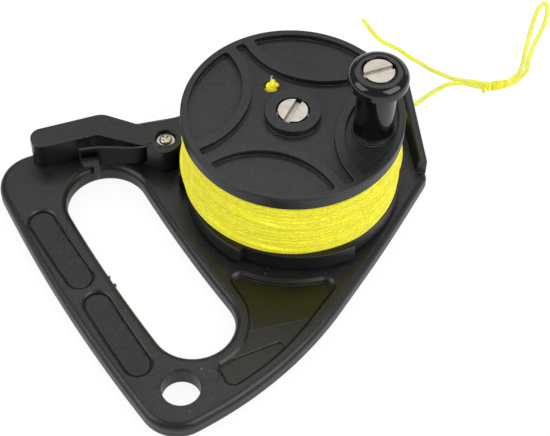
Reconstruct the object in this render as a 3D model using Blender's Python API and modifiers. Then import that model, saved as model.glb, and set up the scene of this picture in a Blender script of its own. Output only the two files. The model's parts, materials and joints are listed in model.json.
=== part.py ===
# Hand-held dive reel: a plate with a hand hole, a ratchet spool of line with a winding knob,
# a sprung brake lever, and the free end of the line with its loop.
# Metres, +Z up. The plate lies flat at z = 0 and the origin is the middle of its footprint.

import bpy
import bmesh
import math
from mathutils import Vector

# Clearances and curve quality
seat_gap = 0.0003           # between two pieces that touch
running_gap = 0.0003        # round a shaft
cut_overrun = 0.0010        # how far a cutter runs past the face it opens
arc_tolerance = 0.00008     # how far a flat may lie inside its arc
weld_distance = 0.000005
sharp_edge_deg = 35.0
turned_steps = 40
bore_steps = 20
flange_steps = 64

# Where the spool's axis stands, from the middle of the footprint
spool_x = 0.0166
spool_y = 0.0025

# Plate. Outline corners are shares of plate_length from the spool's axis: x, y, corner radius
plate_length = 0.1750
plate_thickness = 0.0090
plate_edge_round = 0.0028
near_corner_shares = (0.2880, -0.1440, 0.0183)
guide_corner_shares = (0.4149, 0.1434, 0.0286)
far_bend_shares = (-0.2400, 0.3646, 0.3429)
far_corner_shares = (-0.5703, 0.4103, 0.0886)
bar_bow_shares = (-0.6057, -0.0286, 3.7143)
tail_corner_shares = (-0.5760, -0.4269, 0.0857)
tail_bend_shares = (-0.2657, -0.4269, 0.9143)
near_bend_shares = (0.1029, -0.2469, 3.4286)

# Hand hole and clip hole, in shares of plate_length from the spool's axis
bar_bow_radius_share = 3.657143
hand_hole_shares = (-0.383429, -0.010286)
hand_hole_width_share = 0.184
hand_hole_length_share = 0.572
clip_hole_shares = (-0.485143, -0.336000)
clip_hole_radius = 0.0073
clip_hole_round = 0.0008

# Shallow recesses in the plate's face
upper_pad_shares = (-0.534857, 0.114286)
lower_pad_shares = (-0.534857, -0.147429)
grip_pad_width = 0.0108
grip_pad_length = 0.0420
grip_pad_depth = 0.0010
ledge_depth = 0.0009
pocket_depth = 0.0015
pocket_step_share = 0.9900  # of the outline, for the deep part
# Shares of plate_length
recess_outline_shares = (
    (-0.2531, -0.1166, 0.0171),
    (-0.2531, -0.3194, 0.1257),
    (-0.3886, -0.3309, 0.0114),
    (-0.3960, -0.3891, 0.0171),
    (-0.2600, -0.3749, 0.5714),
    (-0.0366, -0.2754, 0.0171),
    (-0.1686, -0.2326, 0.2731),
)
ledge_outline_shares = (
    (-0.3850, -0.3245, 0.0),
    (-0.2880, -0.2880, 0.0),
    (-0.1400, -0.3345, 0.0),
    (-0.2050, -0.3900, 0.0),
    (-0.2320, -0.3900, 0.0),
    (-0.2380, -0.3425, 0.0090),
)

# Guide wall along the right edge, with the hole that the line leaves through
wall_thickness_share = 0.025714  # of plate_length
wall_crest_share = 0.020571
wall_inset = 0.0002
wall_foot_height = 0.0035
wall_round = 0.0012
wall_near_height = 0.0165
wall_far_height = 0.0232
wall_start = 0.0022
wall_return = 0.0100
guide_hole_radius = 0.0021
guide_flare_radius = 0.0042
guide_flare_length = 0.0032
guide_outer_shares = (0.370857, 0.045714)
guide_reach_x = -0.0060     # inner mouth, from the outer one
guide_reach_y = -0.0021
guide_hole_z = 0.0125

# Spool
pattern_turn_deg = -1.0
flange_radius_share = 0.245714  # of plate_length
flange_thickness = 0.0060
flange_edge_round = 0.0007
flange_recess_depth = 0.0024
winding_width = 0.0300
hub_radius = 0.0150
boss_radius = 0.0109
boss_rise_height = 0.0008
rim_width = 0.0030
rib_distance_share = 1.19535
rib_radius_share = 0.8
rib_width = 0.0040
star_tip_round = 0.0016
pocket_corner_round = 0.0014
anchor_circle_radius = 0.0173
anchor_deg = 88.0
anchor_hole_radius = 0.0024
anchor_hole_circle_radius = 0.0179
anchor_hole_deg = 90.9

# Ratchet under the winding
ratchet_thickness = 0.0080
ratchet_teeth = 6
ratchet_overhang_width = 0.0017  # tips beyond the flange
ratchet_tooth_depth = 0.0027
ratchet_drop_deg = 91.5
ratchet_undercut_deg = 0.2
ratchet_steps = 8
ratchet_rise_power = 1.5

# Axle and its slotted screw
axle_radius = 0.0040
axle_screw_length = 0.0140
underside_recess_depth = 0.0030
thrust_washer_thickness = 0.0006
thrust_washer_radius = 0.0072
top_washer_thickness = 0.0005
top_washer_radius = 0.0060
screw_head_radius = 0.0061
screw_head_height = 0.0020
screw_head_round = 0.0004
screw_shank_radius = 0.0020
screw_slot_width = 0.0017
screw_slot_depth = 0.0011
axle_slot_deg = 32.0
barrel_slot_deg = 20.0
head_sink_depth = 0.0002

# Winding knob
knob_circle_share = 0.723256  # of flange_radius
knob_deg = -44.8
knob_post_radius = 0.0034
knob_pad_share = 0.193023   # of flange_radius
knob_seat_drop_depth = 0.0012     # boss under the knob below the flange's top
knob_length = 0.0308
knob_cap_radius = 0.0114
knob_cap_round = 0.0036
knob_cap_under = 0.0059     # cap's lower edge, from the top
knob_cap_under_round = 0.0005
knob_neck_radius = 0.0076
knob_neck_under = 0.0068
knob_foot_neck = 0.0075
knob_foot_neck_height = 0.0016
knob_foot_gap = 0.0005      # foot inside its boss
knob_washer_gap = 0.0008     # washer inside the boss
knob_foot_height = 0.0005
knob_foot_round = 0.0002
knob_recess_depth = 0.0026
knob_screw_length = 0.0120
knob_slot_deg = -12.0

# Brake lever. Outline corners are shares of lever_reach from the pivot: x, y, corner radius
lever_pivot_share = 0.172093  # of flange_radius, from the ratchet's tips
lever_pivot_deg = 132.355
lever_reach_share = 0.309714  # of plate_length
lever_top_height = 0.0215
lever_edge_round = 0.0006
thumb_far_shares = (-0.8450, 0.5849, 0.0886)
thumb_near_shares = (-0.8893, 0.4077, 0.0886)
thumb_front_bend_shares = (-0.4207, 0.2841, 0.1107)
boss_side_shares = (-0.1863, 0.0185, 0.0554)
boss_near_shares = (-0.0756, -0.1402, 0.0923)
boss_inner_shares = (0.0387, -0.1292, 0.0923)
arm_back_shares = (0.2417, 0.1236, 0.1845)
boss_back_shares = (-0.0775, 0.1753, 0.0554)
thumb_back_bend_shares = (-0.2915, 0.4520, 0.1476)
pawl_arc_mid_deg = 117.0
pawl_arc_half_deg = 17.0
pawl_clearance = 0.0008     # arm's inside to the ratchet's tips
pawl_bite_depth = 0.0011          # nose below the tips
pawl_back_thickness = 0.0031     # arm's outside above the tips
pawl_gap_deg = 0.4
pawl_nose_deg = 4.4
pawl_heel_deg = 2.5
nose_top_height = 0.0177
nose_cut_inset_depth = 0.0004     # inside the tips
lever_sleeve_radius = 0.0026
lever_sleeve_bore = 0.0016
lever_recess_radius = 0.0050
lever_recess_depth = 0.0027
lever_washer_radius = 0.0043
lever_washer_thickness = 0.0007
lever_head_radius = 0.0026
lever_head_height = 0.0014
lever_head_round = 0.0006
lever_screw_radius = 0.0013
lever_screw_length = 0.0165
lever_cross_width = 0.0007
lever_cross_length = 0.0030
lever_cross_depth = 0.0008
lever_cross_deg = 20.0

# Leaf spring of the lever, in shares of lever_reach from the pivot, and the post it presses on
leaf_thickness = 0.0011
leaf_bottom_height = 0.0120
leaf_point_spacing = 0.0044
leaf_route_shares = (
    (-0.1200, 0.0020),
    (-0.1880, 0.0090),
    (-0.2780, 0.0520),
    (-0.3780, 0.1180),
    (-0.4800, 0.1810),
    (-0.6050, 0.2320),
)
post_rim_gap = 0.00116      # leg's middle inside the hand hole's edge
post_rim_deg = 77.24
post_deg = 157.6
post_width = 0.0026
post_leg = 0.0024
post_root = 0.0030          # how far the leg runs into the plate
post_reach = 0.0056
post_height = 0.0080
post_bar_height = 0.0030
groove_width = 0.0028
groove_depth = 0.0012
groove_reach = 0.0100

# Line
line_diameter = 0.0018
winding_turns = 12
winding_points_per_turn = 24
winding_end_gap = 0.0010
winding_inset_depth = 0.0021      # line's centres from the flange's edge
winding_bulge_depth = 0.0012
winding_start_share = 0.15
winding_swell_share = 0.62
core_clearance = 0.0016     # core's face below the line's centres
lead_level_length = 0.0176
lead_clear_gap = 0.0004         # above the ratchet's face
knot_half_width = 0.0021
knot_waist = 0.0016
anchor_knot_radius = 0.0028
anchor_knot_height = 0.0034
lying_point_spacing = 0.0040
# Routes of the lying line from the guide hole's outer mouth, hand chosen: x, y, height of the centre
run_route = (
    (-0.0052, -0.0018, 0.0125),
    (0.0000, 0.0000, 0.0122),
    (0.0041, 0.0007, 0.0090),
    (0.0069, 0.0024, 0.0050),
    (0.0099, 0.0056, 0.0014),
    (0.0140, 0.0067, 0.0010),
    (0.0198, 0.0072, 0.0010),
    (0.0252, 0.0071, 0.0010),
    (0.0298, 0.0059, 0.0010),
    (0.0333, 0.0037, 0.0010),
    (0.0363, 0.0009, 0.0010),
    (0.0393, -0.0026, 0.0011),
)
tail_route = (
    (0.0420, -0.0012, 0.0019),
    (0.0412, 0.0014, 0.0011),
    (0.0387, 0.0037, 0.0010),
    (0.0351, 0.0068, 0.0010),
    (0.0327, 0.0096, 0.0010),
    (0.0300, 0.0138, 0.0010),
    (0.0270, 0.0191, 0.0010),
    (0.0245, 0.0250, 0.0010),
    (0.0227, 0.0300, 0.0010),
    (0.0213, 0.0357, 0.0010),
    (0.0195, 0.0402, 0.0010),
    (0.0177, 0.0442, 0.0010),
    (0.0172, 0.0485, 0.0010),
    (0.0174, 0.0533, 0.0010),
    (0.0180, 0.0602, 0.0010),
)
loop_route = (
    (0.0527, -0.0030, 0.0011),
    (0.0561, -0.0024, 0.0010),
    (0.0603, -0.0009, 0.0010),
    (0.0635, 0.0020, 0.0010),
    (0.0679, 0.0062, 0.0010),
    (0.0751, 0.0126, 0.0010),
    (0.0825, 0.0193, 0.0010),
    (0.0885, 0.0242, 0.0010),
    (0.0929, 0.0266, 0.0010),
    (0.0955, 0.0254, 0.0010),
    (0.0949, 0.0226, 0.0010),
    (0.0910, 0.0184, 0.0010),
    (0.0842, 0.0125, 0.0010),
    (0.0760, 0.0067, 0.0010),
    (0.0691, 0.0020, 0.0010),
    (0.0649, -0.0018, 0.0010),
    (0.0613, -0.0046, 0.0010),
    (0.0573, -0.0054, 0.0010),
    (0.0527, -0.0058, 0.0011),
)
knot_route = (
    (0.0401, -0.0032, 0.0022),
    (0.0426, -0.0036, 0.0024),
    (0.0463, -0.0041, 0.0024),
    (0.0496, -0.0043, 0.0024),
    (0.0523, -0.0044, 0.0022),
)

# Places that follow from the sizes above
bar_bow_radius = bar_bow_radius_share * plate_length
hand_hole_x = hand_hole_shares[0] * plate_length
hand_hole_y = hand_hole_shares[1] * plate_length
hand_hole_width = hand_hole_width_share * plate_length
hand_hole_length = hand_hole_length_share * plate_length
clip_hole_x = clip_hole_shares[0] * plate_length
clip_hole_y = clip_hole_shares[1] * plate_length
guide_outer_x = guide_outer_shares[0] * plate_length
guide_outer_y = guide_outer_shares[1] * plate_length
guide_inner_x = guide_outer_x + guide_reach_x
guide_inner_y = guide_outer_y + guide_reach_y
wall_thickness = wall_thickness_share * plate_length
wall_crest = wall_crest_share * plate_length
flange_radius = flange_radius_share * plate_length
lever_reach = lever_reach_share * plate_length
ratchet_tip_radius = flange_radius + ratchet_overhang_width
ratchet_root_radius = ratchet_tip_radius - ratchet_tooth_depth
pawl_back_radius = ratchet_tip_radius + pawl_back_thickness
nose_cut_radius = ratchet_tip_radius - nose_cut_inset_depth
winding_top_radius = flange_radius - winding_inset_depth
rib_circle_distance = rib_distance_share * flange_radius
rib_circle_radius = rib_radius_share * flange_radius
knob_circle_radius = knob_circle_share * flange_radius
knob_pad_radius = knob_pad_share * flange_radius
knob_foot_radius = knob_pad_radius - knob_foot_gap
knob_washer_radius = knob_pad_radius - knob_washer_gap
lever_circle_radius = ratchet_tip_radius + lever_pivot_share * flange_radius
lever_x = lever_circle_radius * math.cos(math.radians(lever_pivot_deg))
lever_y = lever_circle_radius * math.sin(math.radians(lever_pivot_deg))
hand_hole_bend = (hand_hole_length - hand_hole_width) / 2.0 / bar_bow_radius
hand_hole_end_x = hand_hole_x + bar_bow_radius * (1.0 - math.cos(hand_hole_bend))
hand_hole_end_y = hand_hole_y + bar_bow_radius * math.sin(hand_hole_bend)
post_circle_radius = hand_hole_width / 2.0 - post_rim_gap
post_x = hand_hole_end_x + post_circle_radius * math.cos(math.radians(post_rim_deg))
post_y = hand_hole_end_y + post_circle_radius * math.sin(math.radians(post_rim_deg))

# Heights that follow from the sizes above
lower_washer_bottom = plate_thickness + seat_gap
ratchet_bottom = lower_washer_bottom + thrust_washer_thickness + seat_gap
ratchet_top = ratchet_bottom + ratchet_thickness
winding_bottom = ratchet_top + seat_gap
flange_bottom = winding_bottom + winding_width - seat_gap
flange_top = flange_bottom + flange_thickness
flange_floor = flange_top - flange_recess_depth
boss_top = flange_top + boss_rise_height
axle_head_bottom = boss_top - head_sink_depth - screw_head_height
axle_top = axle_head_bottom - seat_gap
counterbore_floor = axle_top - top_washer_thickness - seat_gap
knob_seat = flange_top - knob_seat_drop_depth
grip_bottom = knob_seat + seat_gap + thrust_washer_thickness + seat_gap
grip_top = grip_bottom + knob_length
grip_floor = grip_top - knob_recess_depth
knob_head_bottom = grip_floor + seat_gap
lever_bottom = plate_thickness + seat_gap
lever_recess_floor = lever_top_height - lever_recess_depth
lever_head_bottom = lever_top_height - lever_head_height
winding_low_radius = winding_top_radius + winding_bulge_depth

reel = bpy.data.collections.new("dive_reel")
tools = bpy.data.collections.new("dive_reel_cutters")


def clear_scene():
    for thing in list(bpy.data.objects):
        bpy.data.objects.remove(thing, do_unlink=True)
    bpy.context.scene.collection.children.link(reel)
    bpy.context.scene.collection.children.link(tools)


def empty(name, x, y, parent=None):
    thing = bpy.data.objects.new(name, None)
    thing.location = (x, y, 0.0)
    thing.parent = parent
    reel.objects.link(thing)
    return thing


def paint(thing, colour, roughness, metallic=0.0):
    material = bpy.data.materials.new(thing.name + "_finish")
    material.use_nodes = True
    shader = material.node_tree.nodes["Principled BSDF"]
    shader.inputs["Base Color"].default_value = (*colour, 1.0)
    shader.inputs["Roughness"].default_value = roughness
    shader.inputs["Metallic"].default_value = metallic
    thing.data.materials.clear()
    thing.data.materials.append(material)


def black_plastic(thing):
    paint(thing, (0.018, 0.018, 0.020), 0.42)


def glossy_plastic(thing):
    paint(thing, (0.012, 0.012, 0.014), 0.16)


def steel(thing):
    paint(thing, (0.62, 0.61, 0.59), 0.28, 1.0)


def yellow_line(thing):
    paint(thing, (0.86, 0.92, 0.01), 0.62)


def place(thing, parent, as_tool=False):
    (tools if as_tool else reel).objects.link(thing)
    thing.parent = parent
    if as_tool:
        thing.hide_render = True
        thing.display_type = "WIRE"
    return thing


def polar(radius, degrees):
    angle = math.radians(degrees)
    return radius * math.cos(angle), radius * math.sin(angle)


def arc(centre_x, centre_y, radius, start, end):
    step = 2.0 * math.acos(1.0 - arc_tolerance / max(radius, 2.0 * arc_tolerance))
    count = max(2, math.ceil(abs(end - start) / step))
    points = []
    for index in range(count + 1):
        angle = start + (end - start) * index / count
        points.append((centre_x + radius * math.cos(angle), centre_y + radius * math.sin(angle)))
    return points


def tidy(points, closed=True):
    kept = []
    for point in points:
        if not kept or (Vector(point) - Vector(kept[-1])).length > weld_distance:
            kept.append(tuple(point))
    if closed and (Vector(kept[0]) - Vector(kept[-1])).length < weld_distance:
        kept.pop()
    return kept


def rounded(corners, closed=True):
    points = []
    count = len(corners)
    for index, (x, y, radius) in enumerate(corners):
        here = Vector((x, y))
        is_end = not closed and index in (0, count - 1)
        if is_end or radius == 0.0:
            points.append((x, y))
            continue
        back = (Vector(corners[index - 1][:2]) - here).normalized()
        onward = (Vector(corners[(index + 1) % count][:2]) - here).normalized()
        half = back.angle(onward) / 2.0
        start = here + back * radius / math.tan(half)
        end = here + onward * radius / math.tan(half)
        centre = here + (back + onward).normalized() * radius / math.sin(half)
        first = math.atan2(start.y - centre.y, start.x - centre.x)
        last = math.atan2(end.y - centre.y, end.x - centre.x)
        turn = (last - first + math.pi) % (2.0 * math.pi) - math.pi
        points.extend(arc(centre.x, centre.y, radius, first, first + turn))
    return tidy(points, closed)


def shares(corners, unit, shift_x=0.0, shift_y=0.0):
    return [(x * unit + shift_x, y * unit + shift_y, radius * unit) for x, y, radius in corners]


def bowed_slot(middle_x, middle_y, length, width, bow_radius):
    centre_x = middle_x + bow_radius
    half = (length - width) / 2.0 / bow_radius
    side = width / 2.0
    lower = (centre_x + bow_radius * math.cos(math.pi + half), middle_y - bow_radius * math.sin(half))
    upper = (lower[0], 2.0 * middle_y - lower[1])
    points = arc(centre_x, middle_y, bow_radius + side, math.pi - half, math.pi + half)
    points += arc(*lower, side, math.pi + half, 2.0 * math.pi + half)
    points += arc(centre_x, middle_y, bow_radius - side, math.pi + half, math.pi - half)
    points += arc(*upper, side, -half, math.pi - half)
    return tidy(points)


def mesh_object(name, mesh, parent, as_tool):
    return place(bpy.data.objects.new(name, mesh), parent, as_tool)


def baked(curve, name, parent, as_tool):
    source = bpy.data.objects.new(name + "_curve", curve)
    reel.objects.link(source)
    bpy.context.view_layer.update()
    mesh = bpy.data.meshes.new_from_object(source.evaluated_get(bpy.context.evaluated_depsgraph_get()))
    mesh.name = name
    bpy.data.objects.remove(source, do_unlink=True)
    work = bmesh.new()
    work.from_mesh(mesh)
    bmesh.ops.remove_doubles(work, verts=work.verts, dist=weld_distance)
    bmesh.ops.recalc_face_normals(work, faces=work.faces)
    work.to_mesh(mesh)
    work.free()
    return mesh_object(name, mesh, parent, as_tool)


def prism(name, outlines, bottom, top, parent, edge_round=0.0, round_steps=2, as_tool=False):
    curve = bpy.data.curves.new(name, "CURVE")
    curve.dimensions = "2D"
    curve.fill_mode = "BOTH"
    curve.extrude = (top - bottom) / 2.0 - edge_round
    curve.bevel_depth = edge_round
    curve.offset = -edge_round
    curve.bevel_resolution = round_steps
    for outline in outlines:
        spline = curve.splines.new("POLY")
        spline.points.add(len(outline) - 1)
        for point, (x, y) in zip(spline.points, outline):
            point.co = (x, y, 0.0, 1.0)
        spline.use_cyclic_u = True
    thing = baked(curve, name, parent, as_tool)
    for vertex in thing.data.vertices:
        vertex.co.z += (top + bottom) / 2.0
    return thing


def turned(name, corners, parent, steps=turned_steps, as_tool=False, at=(0.0, 0.0)):
    solid = corners[0][0] == 0.0
    profile = rounded(corners, closed=not solid)
    work = bmesh.new()
    points = [work.verts.new((radius, 0.0, height)) for radius, height in profile]
    for start, end in zip(points, points[1:]):
        work.edges.new((start, end))
    if not solid:
        work.edges.new((points[-1], points[0]))
    mesh = bpy.data.meshes.new(name)
    work.to_mesh(mesh)
    work.free()
    thing = place(bpy.data.objects.new(name, mesh), parent, as_tool)
    thing.location = (*at, 0.0)
    spin = thing.modifiers.new("turn", "SCREW")
    spin.axis = "Z"
    spin.steps = steps
    spin.render_steps = steps
    spin.use_smooth_shade = True
    spin.use_merge_vertices = True
    spin.merge_threshold = weld_distance
    return thing


def ring(name, inner, outer, bottom, top, parent, at=(0.0, 0.0), steps=bore_steps):
    corners = ((inner, top, 0.0), (outer, top, 0.0), (outer, bottom, 0.0), (inner, bottom, 0.0))
    return turned(name, corners, parent, steps, at=at)


def rod(name, radius, bottom, top, parent, at=(0.0, 0.0), steps=bore_steps):
    corners = ((0.0, top, 0.0), (radius, top, 0.0), (radius, bottom, 0.0), (0.0, bottom, 0.0))
    return turned(name, corners, parent, steps, as_tool=True, at=at)


def block(name, length, width, bottom, top, parent, degrees, at=(0.0, 0.0), start=None):
    mesh = bpy.data.meshes.new(name)
    work = bmesh.new()
    bmesh.ops.create_cube(work, size=1.0)
    middle = 0.0 if start is None else start + length / 2.0
    for vertex in work.verts:
        vertex.co.x = vertex.co.x * length + middle
        vertex.co.y = vertex.co.y * width
        vertex.co.z = bottom + (vertex.co.z + 0.5) * (top - bottom)
    work.to_mesh(mesh)
    work.free()
    thing = place(bpy.data.objects.new(name, mesh), parent, True)
    thing.location = (*at, 0.0)
    thing.rotation_euler = (0.0, 0.0, math.radians(degrees))
    return thing


def combine(thing, tool, operation):
    step = thing.modifiers.new(operation.lower() + "_" + tool.name, "BOOLEAN")
    step.operation = operation
    step.solver = "EXACT"
    step.object = tool


def cut(thing, *pieces):
    for piece in pieces:
        combine(thing, piece, "DIFFERENCE")


def join(thing, *pieces):
    for piece in pieces:
        combine(thing, piece, "UNION")


def loft(name, sections, parent, as_tool=True):
    work = bmesh.new()
    rings = [[work.verts.new(point) for point in section] for section in sections]
    count = len(rings[0])
    for before, after in zip(rings, rings[1:]):
        for index in range(count):
            following = (index + 1) % count
            work.faces.new((before[index], before[following], after[following], after[index]))
    work.faces.new(rings[0])
    work.faces.new(list(reversed(rings[-1])))
    bmesh.ops.recalc_face_normals(work, faces=work.faces)
    mesh = bpy.data.meshes.new(name)
    work.to_mesh(mesh)
    work.free()
    return mesh_object(name, mesh, parent, as_tool)


def smooth_route(route, spacing):
    points = [Vector(place_on_route) for place_on_route in route]
    padded = [2.0 * points[0] - points[1]] + points + [2.0 * points[-1] - points[-2]]
    line = []
    for index in range(len(points) - 1):
        before, start, end, after = padded[index:index + 4]
        count = max(1, round((end - start).length / spacing))
        for step in range(count):
            share = step / count
            line.append(0.5 * (
                2.0 * start
                + (end - before) * share
                + (2.0 * before - 5.0 * start + 4.0 * end - after) * share ** 2
                + (3.0 * start - before - 3.0 * end + after) * share ** 3
            ))
    line.append(points[-1])
    return line


def tube(name, line, parent, sides=2, radii=None):
    curve = bpy.data.curves.new(name, "CURVE")
    curve.dimensions = "3D"
    curve.fill_mode = "FULL"
    curve.bevel_depth = line_diameter / 2.0
    curve.bevel_resolution = sides
    curve.use_fill_caps = True
    spline = curve.splines.new("POLY")
    spline.points.add(len(line) - 1)
    for index, (point, position) in enumerate(zip(spline.points, line)):
        point.co = (*position, 1.0)
        point.radius = 1.0 if radii is None else radii[index]
    thing = baked(curve, name, parent, False)
    yellow_line(thing)
    return thing


def plate_outline():
    corners = (
        tail_corner_shares,
        tail_bend_shares,
        near_bend_shares,
        near_corner_shares,
        guide_corner_shares,
        far_bend_shares,
        far_corner_shares,
        bar_bow_shares,
    )
    return rounded(shares(corners, plate_length))


def guide_wall(parent):
    near = Vector(near_corner_shares[:2]) * plate_length
    far = Vector(guide_corner_shares[:2]) * plate_length
    bend = Vector(far_bend_shares[:2]) * plate_length
    start = near + (far - near).normalized() * wall_start
    end = far + (bend - far).normalized() * wall_return
    turn = guide_corner_shares[2] * plate_length
    route = rounded(((*start, 0.0), (*far, turn), (*end, 0.0)), closed=False)
    total = (far - start).length
    profile = rounded((
        (wall_inset, wall_foot_height, 0.0),
        (wall_inset, wall_near_height, wall_round),
        (wall_crest, wall_near_height, wall_round),
        (wall_thickness, plate_thickness, 0.0),
        (wall_thickness, wall_foot_height, 0.0),
    ))
    sections = []
    for index, point in enumerate(route):
        here = Vector(point)
        before = Vector(route[max(index - 1, 0)])
        after = Vector(route[min(index + 1, len(route) - 1)])
        along = (after - before).normalized()
        inward = Vector((-along.y, along.x))
        share = min(1.0, (here - start).length / total)
        rise = (wall_far_height - wall_near_height) * share
        section = []
        for depth, height in profile:
            lifted = height + rise if height > plate_thickness else height
            section.append((*(here + inward * depth), lifted))
        sections.append(section)
    return loft("guide_wall_shape", sections, parent)


def guide_bore(parent):
    outer = Vector((guide_outer_x, guide_outer_y))
    inner = Vector((guide_inner_x, guide_inner_y))
    depth = (outer - inner).length
    corners = (
        (0.0, depth + wall_thickness, 0.0),
        (guide_hole_radius, depth + wall_thickness, 0.0),
        (guide_hole_radius, guide_flare_length, 0.0),
        (guide_flare_radius, -cut_overrun, 0.0),
        (0.0, -cut_overrun, 0.0),
    )
    bore = turned("guide_hole_cutter", corners, parent, 16, as_tool=True)
    direction = (outer - inner).normalized()
    bore.rotation_euler = (0.0, math.pi / 2.0, math.atan2(direction.y, direction.x))
    bore.location = (guide_inner_x, guide_inner_y, guide_hole_z)
    return bore


def clip_bore(parent):
    wide = clip_hole_radius + clip_hole_round
    corners = (
        (0.0, plate_thickness + cut_overrun, 0.0),
        (wide, plate_thickness + cut_overrun, 0.0),
        (wide, plate_thickness, 0.0),
        (clip_hole_radius, plate_thickness - clip_hole_round, 0.0),
        (clip_hole_radius, clip_hole_round, 0.0),
        (wide, 0.0, 0.0),
        (wide, -cut_overrun, 0.0),
        (0.0, -cut_overrun, 0.0),
    )
    return turned("clip_hole_cutter", corners, parent, 32, as_tool=True, at=(clip_hole_x, clip_hole_y))


def recess_cutters(parent):
    above = plate_thickness + cut_overrun
    outline = shares(recess_outline_shares, plate_length)
    shallow = prism("ledge_cutter", [rounded(outline)], plate_thickness - ledge_depth, above, parent,
                    as_tool=True)
    middle_x = sum(x for x, y, radius in outline) / len(outline)
    middle_y = sum(y for x, y, radius in outline) / len(outline)
    inner = [
        (
            middle_x + (x - middle_x) * pocket_step_share,
            middle_y + (y - middle_y) * pocket_step_share,
            radius,
        )
        for x, y, radius in outline
    ]
    floor = plate_thickness - pocket_depth
    deep = prism("pocket_cutter", [rounded(inner)], floor, above, parent, as_tool=True)
    ledge = prism(
        "ledge_shape",
        [rounded(shares(ledge_outline_shares, plate_length))],
        floor - cut_overrun,
        above + cut_overrun,
        parent,
        as_tool=True,
    )
    cut(deep, ledge)
    pads = []
    for name, middle in (("upper_pad_cutter", upper_pad_shares), ("lower_pad_cutter", lower_pad_shares)):
        pad_x = middle[0] * plate_length
        pad_y = middle[1] * plate_length
        slot = bowed_slot(pad_x, pad_y, grip_pad_length, grip_pad_width, bar_bow_radius)
        pads.append(prism(name, [slot], plate_thickness - grip_pad_depth, above, parent, as_tool=True))
    return [shallow, deep] + pads


def build_plate(spool_axis):
    hole = bowed_slot(hand_hole_x, hand_hole_y, hand_hole_length, hand_hole_width, bar_bow_radius)
    hole.reverse()
    plate = prism("frame_plate", [plate_outline(), hole], 0.0, plate_thickness, spool_axis,
                  plate_edge_round, 2)
    post_at = (post_x, post_y)
    post_top = plate_thickness + post_height
    leg = block("post_leg_shape", post_leg, post_width, plate_thickness - post_root, post_top,
                spool_axis, post_deg, post_at)
    bar = block("post_bar_shape", post_reach, post_width - weld_distance, post_top - post_bar_height,
                post_top - weld_distance, spool_axis, post_deg, post_at, start=0.0)
    groove = block("groove_cutter", groove_reach, groove_width, plate_thickness - groove_depth,
                   plate_thickness + cut_overrun, spool_axis, post_deg - 90.0, post_at, start=-groove_reach)
    below = -cut_overrun
    axle_bore = rod("axle_bore_cutter", axle_radius + running_gap, below, plate_thickness + cut_overrun,
                    spool_axis)
    axle_seat = rod("axle_seat_cutter", screw_head_radius + running_gap, below, underside_recess_depth,
                    spool_axis, steps=turned_steps)
    screw_end = lever_head_bottom - lever_screw_length - cut_overrun
    screw_bore = rod("lever_screw_bore_cutter", lever_screw_radius + running_gap, screw_end,
                     plate_thickness + cut_overrun, spool_axis, at=(lever_x, lever_y), steps=12)
    cut(plate, *recess_cutters(spool_axis), groove)
    join(plate, leg, bar)
    cut(plate, clip_bore(spool_axis), axle_bore, axle_seat, screw_bore)
    join(plate, guide_wall(spool_axis))
    cut(plate, guide_bore(spool_axis))
    black_plastic(plate)
    return plate


def slotted(name, thing, top, degrees, parent, at=(0.0, 0.0)):
    slot = block(name + "_slot_cutter", 2.2 * screw_head_radius, screw_slot_width, top - screw_slot_depth,
                 top + cut_overrun, parent, degrees, at)
    cut(thing, slot)


def slotted_screw(name, bottom, length, degrees, parent, at=(0.0, 0.0)):
    top = bottom + screw_head_height
    corners = (
        (0.0, top, 0.0),
        (screw_head_radius, top, screw_head_round),
        (screw_head_radius, bottom, 0.0),
        (screw_shank_radius, bottom, 0.0),
        (screw_shank_radius, bottom - length, 0.0),
        (0.0, bottom - length, 0.0),
    )
    screw = turned(name, corners, parent, 32, at=at)
    slotted(name, screw, top, degrees, parent, at)
    steel(screw)


def build_axle(spool_axis):
    head_bottom = underside_recess_depth - seat_gap - screw_head_height
    head_top = head_bottom + screw_head_height
    bore = screw_shank_radius + running_gap
    bore_end = axle_head_bottom - axle_screw_length - cut_overrun
    corners = (
        (0.0, bore_end, 0.0),
        (bore, bore_end, 0.0),
        (bore, axle_top, 0.0),
        (axle_radius, axle_top, 0.0),
        (axle_radius, head_top, 0.0),
        (screw_head_radius, head_top, 0.0),
        (screw_head_radius, head_bottom, screw_head_round),
        (0.0, head_bottom, 0.0),
    )
    barrel = turned("axle_barrel", corners, spool_axis, 32)
    slot = block("axle_barrel_slot_cutter", 2.2 * screw_head_radius, screw_slot_width,
                 head_bottom - cut_overrun, head_bottom + screw_slot_depth, spool_axis, barrel_slot_deg)
    cut(barrel, slot)
    steel(barrel)
    slotted_screw("axle_screw", axle_head_bottom, axle_screw_length, axle_slot_deg, spool_axis)
    inner = axle_radius + running_gap
    lower = ring("axle_thrust_washer", inner, thrust_washer_radius, lower_washer_bottom,
                 lower_washer_bottom + thrust_washer_thickness, spool_axis)
    upper = ring("axle_top_washer", inner, top_washer_radius, counterbore_floor + seat_gap,
                 counterbore_floor + seat_gap + top_washer_thickness, spool_axis)
    steel(lower)
    steel(upper)


def ratchet_outline():
    points = []
    rise = ratchet_tip_radius - ratchet_root_radius
    span = 360.0 / ratchet_teeth
    for tooth in range(ratchet_teeth):
        drop = ratchet_drop_deg + tooth * span
        for step in range(ratchet_steps + 1):
            share = step / ratchet_steps
            turn = drop + share * (span + ratchet_undercut_deg)
            points.append(polar(ratchet_root_radius + rise * share ** ratchet_rise_power, turn))
    return points


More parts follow.
